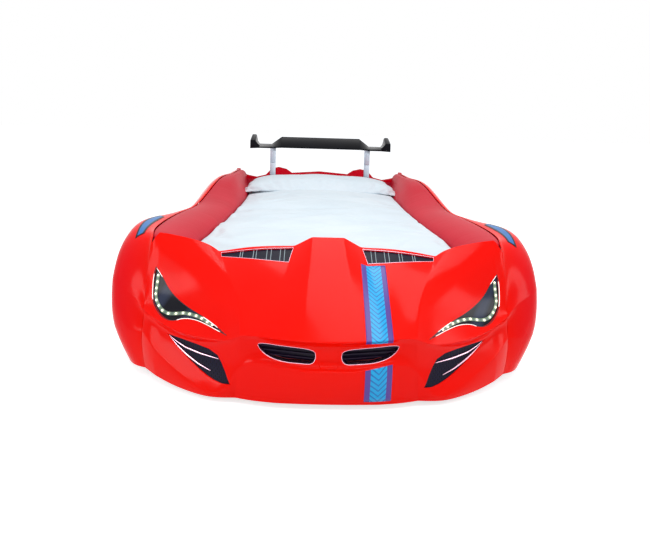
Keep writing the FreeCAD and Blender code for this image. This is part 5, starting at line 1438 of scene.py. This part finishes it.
def pillow_form(a, b, side_sign):
    """Two sheets sewn round their edge: height falls as a power of the distance to the sides, and the sides
    are drawn in between the corners. Slack waves run over the upper sheet, and the seam hangs at its ends."""
    half_x, half_y = PILLOW_HALF
    drawn_x, drawn_y, roundness, wave = 0.05, 0.07, 0.4, 3.5 * MM
    side_hang, front_hang, over_quilt = 17 * MM, 14 * MM, 2.5 * MM
    x = half_x * a * (1 - drawn_x * (1 - b * b))
    y = half_y * b * (1 - drawn_y * (1 - a * a))
    swell = np.clip((1 - a ** 2) * (1 - b ** 2), 0, 1) ** roundness
    slack = wave * np.sin(a * 9.0 + b * 3.0 + 0.8 * np.sin(b * 5)) * np.sin(b * 4.0 + a * 2.0)
    seam = PILLOW_SEAM_Z - side_hang * abs(a) ** 6 - front_hang * np.clip(-b, 0, 1) ** 8
    z = seam + side_sign * swell * (PILLOW_RISE + slack * (side_sign > 0))
    x, y = x + PILLOW_MIDDLE[0], y + PILLOW_MIDDLE[1]
    if side_sign < 0:
        z = np.maximum(z, quilt_top(x, y) + over_quilt)
    return np.stack([x, y, z], -1)


def two_faced(number, rim):
    """Quads of a thin piece whose two faces are grids of one layout, the second turned round, with a band
    between their rims."""
    face = grid_faces(number).reshape(-1, 4)
    band = np.stack([rim, rim + number.size, np.roll(rim, -1) + number.size, np.roll(rim, -1)], 1)
    return np.concatenate([face, face[:, ::-1] + number.size, band])


def pillow():
    """Both sheets on one grid that is closer near the seam, by a sine. What rests on the quilt is held, and
    the seam too."""
    closer, least_thick, resting_gap, farthest = math.pi / 2 * 0.93, 1.6 * MM, 4 * MM, 9 * MM
    lines = [np.sin(np.linspace(-1, 1, steps) * closer) / math.sin(closer) for steps in (74, 42)]
    a, b = np.meshgrid(*lines, indexing="ij")
    upper, lower = pillow_form(a, b, 1.0), pillow_form(a, b, -1.0)
    lower[..., 2] = np.minimum(lower[..., 2], upper[..., 2] - least_thick)
    number = np.arange(a.size).reshape(a.shape)
    rim = rim_of(number.T)
    points = np.concatenate([upper.reshape(-1, 3), lower.reshape(-1, 3)])
    made = put_plain("pillow_cotton", points, two_faced(number, rim), NO_TRIANGLES, COTTON, "bedding",
                     ["pillow"])
    resting = np.flatnonzero(points[:, 2] < quilt_top(points[:, 0], points[:, 1]) + resting_gap)
    held = np.union1d(resting, np.union1d(rim, rim + a.size))
    shaped = capped(points, settled(made, held, 3.0, 0.05), farthest)
    made.data.vertices.foreach_set("co", shaped.astype(np.float32).ravel())
    plumped(made)


COTTON = finish("cotton_percale_white", cotton)
quilt()
pillow()


# Tail. A crowned panel of the same lacquered ABS closes the back over the head board, and holds the
# moulded switch box for the lamps, its rocker and the socket for the mains adapter.
SWITCH_X, SWITCH_Z = 400 * MM, 300 * MM
MARK_RISE, MARK_HALF_X, MARK_HALF_Z = 6.0 * MM, 0.8 * MM, 2.6 * MM


def moulded_black(tree):
    """Moulded black ABS: satin, with a fine spark grain drawn coarse enough to show close up."""
    tone, grain = clouded(tree, 1200.0, 2.0, "#101013", "#1E1E22")[:2]
    bump = add(tree, "ShaderNodeBump",
               inputs={"Height": grain, "Strength": 0.15, "Distance": 0.0003})
    return add(tree, "ShaderNodeBsdfPrincipled",
               inputs={"Base Color": tone, "Roughness": 0.42, "Normal": bump.outputs[0]}).outputs[0]


def marked_black(tree):
    """The rocker's face: the same black, with a pale bar moulded in at the end that switches the lamps on."""
    dark, _, coords = clouded(tree, 900.0, 1.0, "#0E0E10", "#19191C")
    place = add(tree, "ShaderNodeSeparateXYZ", inputs={0: coords})
    off_x = add(tree, "ShaderNodeMath", {"operation": "SUBTRACT"}, {0: place.outputs["X"], 1: SWITCH_X})
    off_z = add(tree, "ShaderNodeMath", {"operation": "SUBTRACT"},
                {0: place.outputs["Z"], 1: SWITCH_Z + MARK_RISE})
    near_x = add(tree, "ShaderNodeMath", {"operation": "COMPARE"},
                 {0: off_x.outputs[0], 1: 0.0, 2: MARK_HALF_X})
    near_z = add(tree, "ShaderNodeMath", {"operation": "COMPARE"},
                 {0: off_z.outputs[0], 1: 0.0, 2: MARK_HALF_Z})
    mark = add(tree, "ShaderNodeMath", {"operation": "MULTIPLY"},
               {0: near_x.outputs[0], 1: near_z.outputs[0]})
    tone = add(tree, "ShaderNodeMix", {"data_type": "RGBA"},
               {0: mark.outputs[0], 6: dark, 7: ink("#D9D9D6")}).outputs[2]
    return add(tree, "ShaderNodeBsdfPrincipled", inputs={"Base Color": tone, "Roughness": 0.3}).outputs[0]


BLACK_PLASTIC = finish("abs_black_satin", moulded_black)
softened("rear_skin", "tail_panel", 3.0 * MM, RED_GLOSS)
softened("control_box", "switch_box", 0.5 * MM, BLACK_PLASTIC)
softened("dc_inlet", "adapter_socket", 0.4 * MM, BLACK_PLASTIC)
softened("rocker_switch", "rocker_cap", 0.5 * MM, finish("abs_black_marked", marked_black),
         "rocker")


# Rear wing. A gloss black moulded blade with a fin at each end, carried by two flat bars of brushed
# aluminium that are screwed to the head board and jointed half way up.
def gloss_black(tree):
    """Black ABS, lacquered: deep and wet, faintly brown, with soft smears."""
    tone, smear = clouded(tree, 9.0, 3.0, "#09090C", "#15161C")[:2]
    rough = add(tree, "ShaderNodeMapRange",
                inputs={"Value": smear, "To Min": 0.1, "To Max": 0.22})
    return add(tree, "ShaderNodeBsdfPrincipled",
               inputs={"Base Color": tone, "Roughness": rough.outputs[0],
                       "Specular IOR Level": 0.07}).outputs[0]


def brushed_bar(tree):
    """Aluminium bar, brushed along its length and clear anodised: fine upright lines."""
    coords = add(tree, "ShaderNodeTexCoord").outputs["Object"]
    drawn = add(tree, "ShaderNodeMapping",
                inputs={"Vector": coords, "Scale": (90.0, 90.0, 2.0)}).outputs[0]
    lines = add(tree, "ShaderNodeTexNoise", inputs={"Vector": drawn, "Scale": 12.0, "Detail": 3.0})
    tone = add(tree, "ShaderNodeMix", {"data_type": "RGBA"},
               {0: lines.outputs["Fac"], 6: ink("#B4BECC"), 7: ink("#D2DAE4")}).outputs[2]
    rough = add(tree, "ShaderNodeMapRange",
                inputs={"Value": lines.outputs["Fac"], "To Min": 0.28, "To Max": 0.45})
    return add(tree, "ShaderNodeBsdfPrincipled",
               inputs={"Base Color": tone, "Metallic": 1.0, "Roughness": rough.outputs[0]}).outputs[0]


BRUSHED = finish("aluminium_brushed", brushed_bar)
softened("spoiler_wing", "wing_blade", 2.2 * MM, finish("abs_black_lacquered", gloss_black))
for node, name in (("wing_post_left", "wing_bar_left"), ("wing_post_right", "wing_bar_right"),
                   ("post_feet", "wing_bar_feet")):
    softened(node, name, 0.9 * MM, BRUSHED)


# Wheels. Dummy wheels that do not turn: hard foam tyres on moulded five-spoked rims, bolted to round
# stubs on the side boards, inside arches that are lined with thin black plastic.
WHEEL_FACE_X, WHEEL_BACK_X = 656 * MM, 561 * MM
TYRE_BEAD, TYRE_REACH = 112.6 * MM, 165 * MM
TREAD_BLOCKS = 56


def tyre_rubber(tree):
    """Black rubber foam: matt, grey where it catches the light, with dust in the grain."""
    tone, _, coords = clouded(tree, 18.0, 5.0, "#131315", "#2B2B2E")
    grain = add(tree, "ShaderNodeTexNoise", inputs={"Vector": coords, "Scale": 700.0, "Detail": 2.0})
    bump = add(tree, "ShaderNodeBump",
               inputs={"Height": grain.outputs["Fac"], "Strength": 0.25, "Distance": 0.0005})
    return add(tree, "ShaderNodeBsdfPrincipled",
               inputs={"Base Color": tone, "Roughness": 0.7, "Normal": bump.outputs[0]}).outputs[0]


def rim_silver(tree):
    """Rims moulded in grey plastic and painted silver: metal flake under a clear coat."""
    tone = clouded(tree, 600.0, 1.0, "#9A9DA3", "#C4C7CC")[0]
    return add(tree, "ShaderNodeBsdfPrincipled",
               inputs={"Base Color": tone, "Metallic": 0.85, "Roughness": 0.32, "Coat Weight": 0.4,
                       "Coat Roughness": 0.08}).outputs[0]


def tyre_shape(axle_y):
    """A profile turned round the axle, given as shares of the tyre's height and width. The tread is lower in
    two rings, and in slots where a slanted cosine wave round the tyre is high."""
    width, slot_depth = WHEEL_FACE_X - WHEEL_BACK_X, 3.0 * MM
    profile = np.array([(0.0, 0.10), (0.06, 0.03), (0.25, 0.0), (0.5, -0.004), (0.56, 0.012), (0.62, -0.002),
                        (0.8, 0.03), (0.93, 0.09), (0.985, 0.14), (1.0, 0.17), (1.0, 0.24), (1.0, 0.31),
                        (0.93, 0.325), (0.93, 0.365), (1.0, 0.38), (1.0, 0.45), (1.0, 0.55), (1.0, 0.62),
                        (0.93, 0.635), (0.93, 0.675), (1.0, 0.69), (1.0, 0.76), (1.0, 0.83), (0.985, 0.86),
                        (0.93, 0.91), (0.8, 0.97), (0.62, 1.002), (0.56, 0.988), (0.5, 1.004), (0.25, 1.0),
                        (0.06, 0.97), (0.0, 0.90)])
    steps = TREAD_BLOCKS * 8
    turn = np.linspace(0, 2 * math.pi, steps, endpoint=False)[:, None]
    share, place = profile[:, 0][None], np.clip(profile[:, 1], 0.004, 0.996)[None]
    wave = np.cos(TREAD_BLOCKS * turn + 7.0 * abs(place - 0.5))
    slot = np.clip((wave - 0.55) / 0.25, 0, 1) * np.clip((share - 0.9) / 0.05, 0, 1) * (share > 0.95)
    radius = TYRE_BEAD + (TYRE_REACH - TYRE_BEAD) * share - slot * slot_depth
    x = WHEEL_BACK_X + width * place + 0 * turn
    rings = np.stack([x, axle_y + radius * np.cos(turn), AXLE_Z + radius * np.sin(turn)], -1)
    number = np.arange(rings.shape[0] * rings.shape[1]).reshape(rings.shape[:2])
    return rings.reshape(-1, 3), ring_faces(number, np.roll(number, -1, 0))


def put_two(name, points, quads, material, slot, replaced):
    """One piece made of a part on the right and the same with x turned round on the left."""
    put_plain(name, np.concatenate([points, points * (-1, 1, 1)]),
              np.concatenate([quads, quads + len(points)]), NO_TRIANGLES, material, slot, [replaced])


FOAM_BLACK = finish("rubber_foam_black", tyre_rubber)
for name, axle_y in AXLES.items():
    put_two(f"treaded_tyres_{name}", *tyre_shape(axle_y), FOAM_BLACK, "tyre", f"tyres_{name}")
SILVER = finish("paint_silver_flake", rim_silver)
for name in AXLES:
    softened(f"rims_{name}", f"spoked_rims_{name}", 1.6 * MM, SILVER)
softened("hub_caps", "domed_hub_caps", 1.5 * MM, SILVER)
softened("wheel_bolts", "rim_bolts", 1.0 * MM, ZINC)
dress(BLACK_PLASTIC, "wheel_mounts")


# Arch liners. Thin black plastic strips, bent over each wheel from the side board out to the skin. They
# are vacuum formed, clipped to the board, and end just short of the moulded arch.
LINER, LINER_GAP = 2.5 * MM, 1.2 * MM
BOARD_FACE = 473 * MM
BOARD_GAP, SKIN_GAP = 0.4 * MM, 1.5 * MM


def arch_liner(name, axle_y):
    """Each row of a liner follows the arch at one thickness; it runs from the board's face to just short of
    the skin, whose x along the arch is looked up on the skin."""
    edge = on_net(SIDE, *arch_loop(axle_y)[1:-1].T)
    away = edge[:, 1:] - (axle_y, AXLE_Z)
    away[:, 1] = np.maximum(away[:, 1], 0)
    away = unit(away)
    inner_x, outer_x = BOARD_FACE + BOARD_GAP, edge[:, 0] - SKIN - SKIN_GAP
    x = inner_x + (outer_x - inner_x) * np.linspace(0, 1, 12)[:, None]
    walls = []
    for depth in (LINER_GAP, LINER_GAP + LINER):
        y, z = (edge[:, 1:] - away * depth).T
        walls.append(np.stack(np.broadcast_arrays(x, y, z), -1).reshape(-1, 3))
    number = np.arange(x.size).reshape(x.shape)
    put_two(f"bent_liners_{name}", np.concatenate(walls), two_faced(number, rim_of(number)), BLACK_PLASTIC,
            "black_plastic", f"arch_liners_{name}")


for name, axle_y in AXLES.items():
    arch_liner(name, axle_y)


# Decoration. Two printed bands of plain colour down the right of the bonnet, with a chevron between
#  them, and a blue moulded inlay, nearly black along its edge, on top of each front wing.
BAND_LEFT, BAND_RIGHT = 97 * MM, 171 * MM
BAND_EDGE = 15 * MM
CHEVRON_PITCH = 16 * MM
BAND_V = (HALF_V, HALF_V + 9.0)
BAND_UPPER_END, BAND_LOWER_START, BAND_LOWER_SLANT = 190 * MM, 121 * MM, 0.17
SLANT_FROM, SHORT_OF_EDGE = 100 * MM, 0.06
INLAY_XY = [(580, -736), (606, -745), (616, -600), (604, -440), (588, -440), (586, -600)]


def printed_bands(tree):
    """Printed vinyl: violet edges and a cyan middle with darker chevrons. It reads the distance across and
    along from the mesh's own map, in metres."""
    chart = add(tree, "ShaderNodeUVMap", {"uv_map": "band"}).outputs[0]
    place = add(tree, "ShaderNodeSeparateXYZ", inputs={0: chart})
    middle = (BAND_RIGHT - BAND_LEFT) / 2
    off = add(tree, "ShaderNodeMath", {"operation": "SUBTRACT"}, {0: place.outputs["X"], 1: middle})
    off = add(tree, "ShaderNodeMath", {"operation": "ABSOLUTE"}, {0: off.outputs[0]})
    edge = add(tree, "ShaderNodeMath", {"operation": "GREATER_THAN"},
               {0: off.outputs[0], 1: middle - BAND_EDGE})
    slant = add(tree, "ShaderNodeMath", {"operation": "ADD"}, {0: place.outputs["Y"], 1: off.outputs[0]})
    turns = add(tree, "ShaderNodeMath", {"operation": "DIVIDE"}, {0: slant.outputs[0], 1: CHEVRON_PITCH})
    part = add(tree, "ShaderNodeMath", {"operation": "FRACT"}, {0: turns.outputs[0]})
    mark = add(tree, "ShaderNodeMath", {"operation": "LESS_THAN"}, {0: part.outputs[0], 1: 0.3})
    inner = add(tree, "ShaderNodeMix", {"data_type": "RGBA"},
                {0: mark.outputs[0], 6: ink("#05AEE8"), 7: ink("#0A6FC0")}).outputs[2]
    tone = add(tree, "ShaderNodeMix", {"data_type": "RGBA"},
               {0: edge.outputs[0], 6: inner, 7: ink("#5A3F9A")}).outputs[2]
    return add(tree, "ShaderNodeBsdfPrincipled",
               inputs={"Base Color": tone, "Roughness": 0.22, "Specular IOR Level": 0.3}).outputs[0]


def blue_inlay(tree):
    """A blue moulded inlay: satin, nearly black along its rim. The mesh says how far in each place is."""
    inset = add(tree, "ShaderNodeAttribute", {"attribute_name": "inset"}).outputs["Fac"]
    share = add(tree, "ShaderNodeMapRange",
                inputs={"Value": inset, "From Min": 0.005, "From Max": 0.0065}).outputs[0]
    blue = clouded(tree, 25.0, 2.0, "#1F66AC", "#2F7EC4")[0]
    tone = add(tree, "ShaderNodeMix", {"data_type": "RGBA"},
               {0: share, 6: ink("#0C0C14"), 7: blue}).outputs[2]
    return add(tree, "ShaderNodeBsdfPrincipled",
               inputs={"Base Color": tone, "Roughness": 0.28, "Specular IOR Level": 0.15}).outputs[0]


def rows_at(x, other, axes, u_range):
    """The nose's row parameters where it stands at the given places on two axes."""
    return find_on(NOSE, np.stack([x, other], 1), axes, u_range, BAND_V)[:, 0]


def columns_at(u, x):
    """The nose's column parameters where it has the wanted x, for each row parameter: looked up on a fine
    line of columns, and straight between two of them."""
    fine = np.linspace(*BAND_V, 70)
    grid_u, grid_v = np.broadcast_arrays(u[..., None], fine)
    found = on_net(NOSE, grid_u.ravel(), grid_v.ravel())[:, 0].reshape(grid_u.shape)
    after = np.clip((found <= x[:, None]).sum(-1, keepdims=True), 1, len(fine) - 1)
    low, high = [np.take_along_axis(found, at, -1)[..., 0] for at in (after - 1, after)]
    share = np.clip((x - low) / (high - low), 0, 1)
    return fine[after[..., 0] - 1] + share * (fine[1] - fine[0])


def bonnet_band(name, x, first, last, rows):
    """Straight lines of equal x on the nose, whose row parameters run evenly from first to last. The map
    holds the distance across the band, and along its middle line."""
    proud, skin_gap = 0.7 * MM, 0.25 * MM
    u = first + (last - first) * np.linspace(0, 1, rows)[:, None]
    v = columns_at(u, x)
    number = np.arange(u.size).reshape(u.shape)
    high, low = [on_net(nose(-height), u.ravel(), v.ravel()) for height in (proud, skin_gap)]
    made = put_plain(f"bonnet_band_{name}", np.concatenate([high, low]), two_faced(number, rim_of(number)),
                     NO_TRIANGLES, VINYL, None, [])
    middle = on_net(NOSE, u.ravel(), v.ravel()).reshape(u.shape + (3,))[:, len(x) // 2]
    length = np.concatenate([[0], np.linalg.norm(np.diff(middle, axis=0), axis=-1).cumsum()])
    flat = np.stack([np.broadcast_to(x - BAND_LEFT, u.shape), np.broadcast_to(length[:, None], u.shape)], -1)
    flat = np.tile(flat.reshape(-1, 2), (2, 1)).astype(np.float32)
    corners = np.zeros(len(made.data.loops), np.int32)
    made.data.loops.foreach_get("vertex_index", corners)
    chart = made.data.uv_layers.new(name="band")
    chart.data.foreach_set("uv", flat[corners].ravel())


def bonnet_bands():
    """The upper band runs from the opening's front edge to the brow, the lower from the ledge to under the
    chin."""
    x = np.linspace(BAND_LEFT, BAND_RIGHT, 25)
    opening_y = OPENING_FRONT * MM + OPENING_SLANT * np.maximum(x - OPENING_INNER * MM, 0)
    bonnet_band("upper", x, rows_at(x, opening_y, FROM_ABOVE, (0.0, 3.0)),
                rows_at(x, x * 0 + BAND_UPPER_END, FROM_FRONT, (3.5, 6.0)), 90)
    ledge_z = x * 0 + BAND_LOWER_START + BAND_LOWER_SLANT * (x - SLANT_FROM)
    bonnet_band("lower", x, rows_at(x, ledge_z, FROM_FRONT, (6.5, 9.0)),
                np.full(len(x), NOSE_U - SHORT_OF_EDGE), 40)


def wing_inlays():
    """A thin sheet just proud of each side skin. Each point is told how far it lies from the outline."""
    proud, skin_gap, lip = 1.3 * MM, 0.35 * MM, 0.3 * MM
    outline = divided(rounded(INLAY_XY, sharp=(0, 1, 3, 4)), 4.0)
    loop = find_on(SIDE, outline * MM, FROM_ABOVE, (0.0, 4.0), (0.0, 6.0))
    right = sheet_between(side(-proud), side(-skin_gap), even_lines(SIDE_U, 16), even_lines(SIDE_V, 24),
                          [loop], lip, keep_inside=True)
    made = put_pair("wing_inlay", right, finish("abs_blue_satin", blue_inlay), "vent_blue", "fender_vent")
    edge = on_net(SIDE, *loop.T)
    mark(made, "inset", np.sqrt(((right[0][:, None] - edge[None]) ** 2).sum(-1)).min(1))


VINYL = finish("vinyl_printed", printed_bands)
bonnet_bands()
wing_inlays()
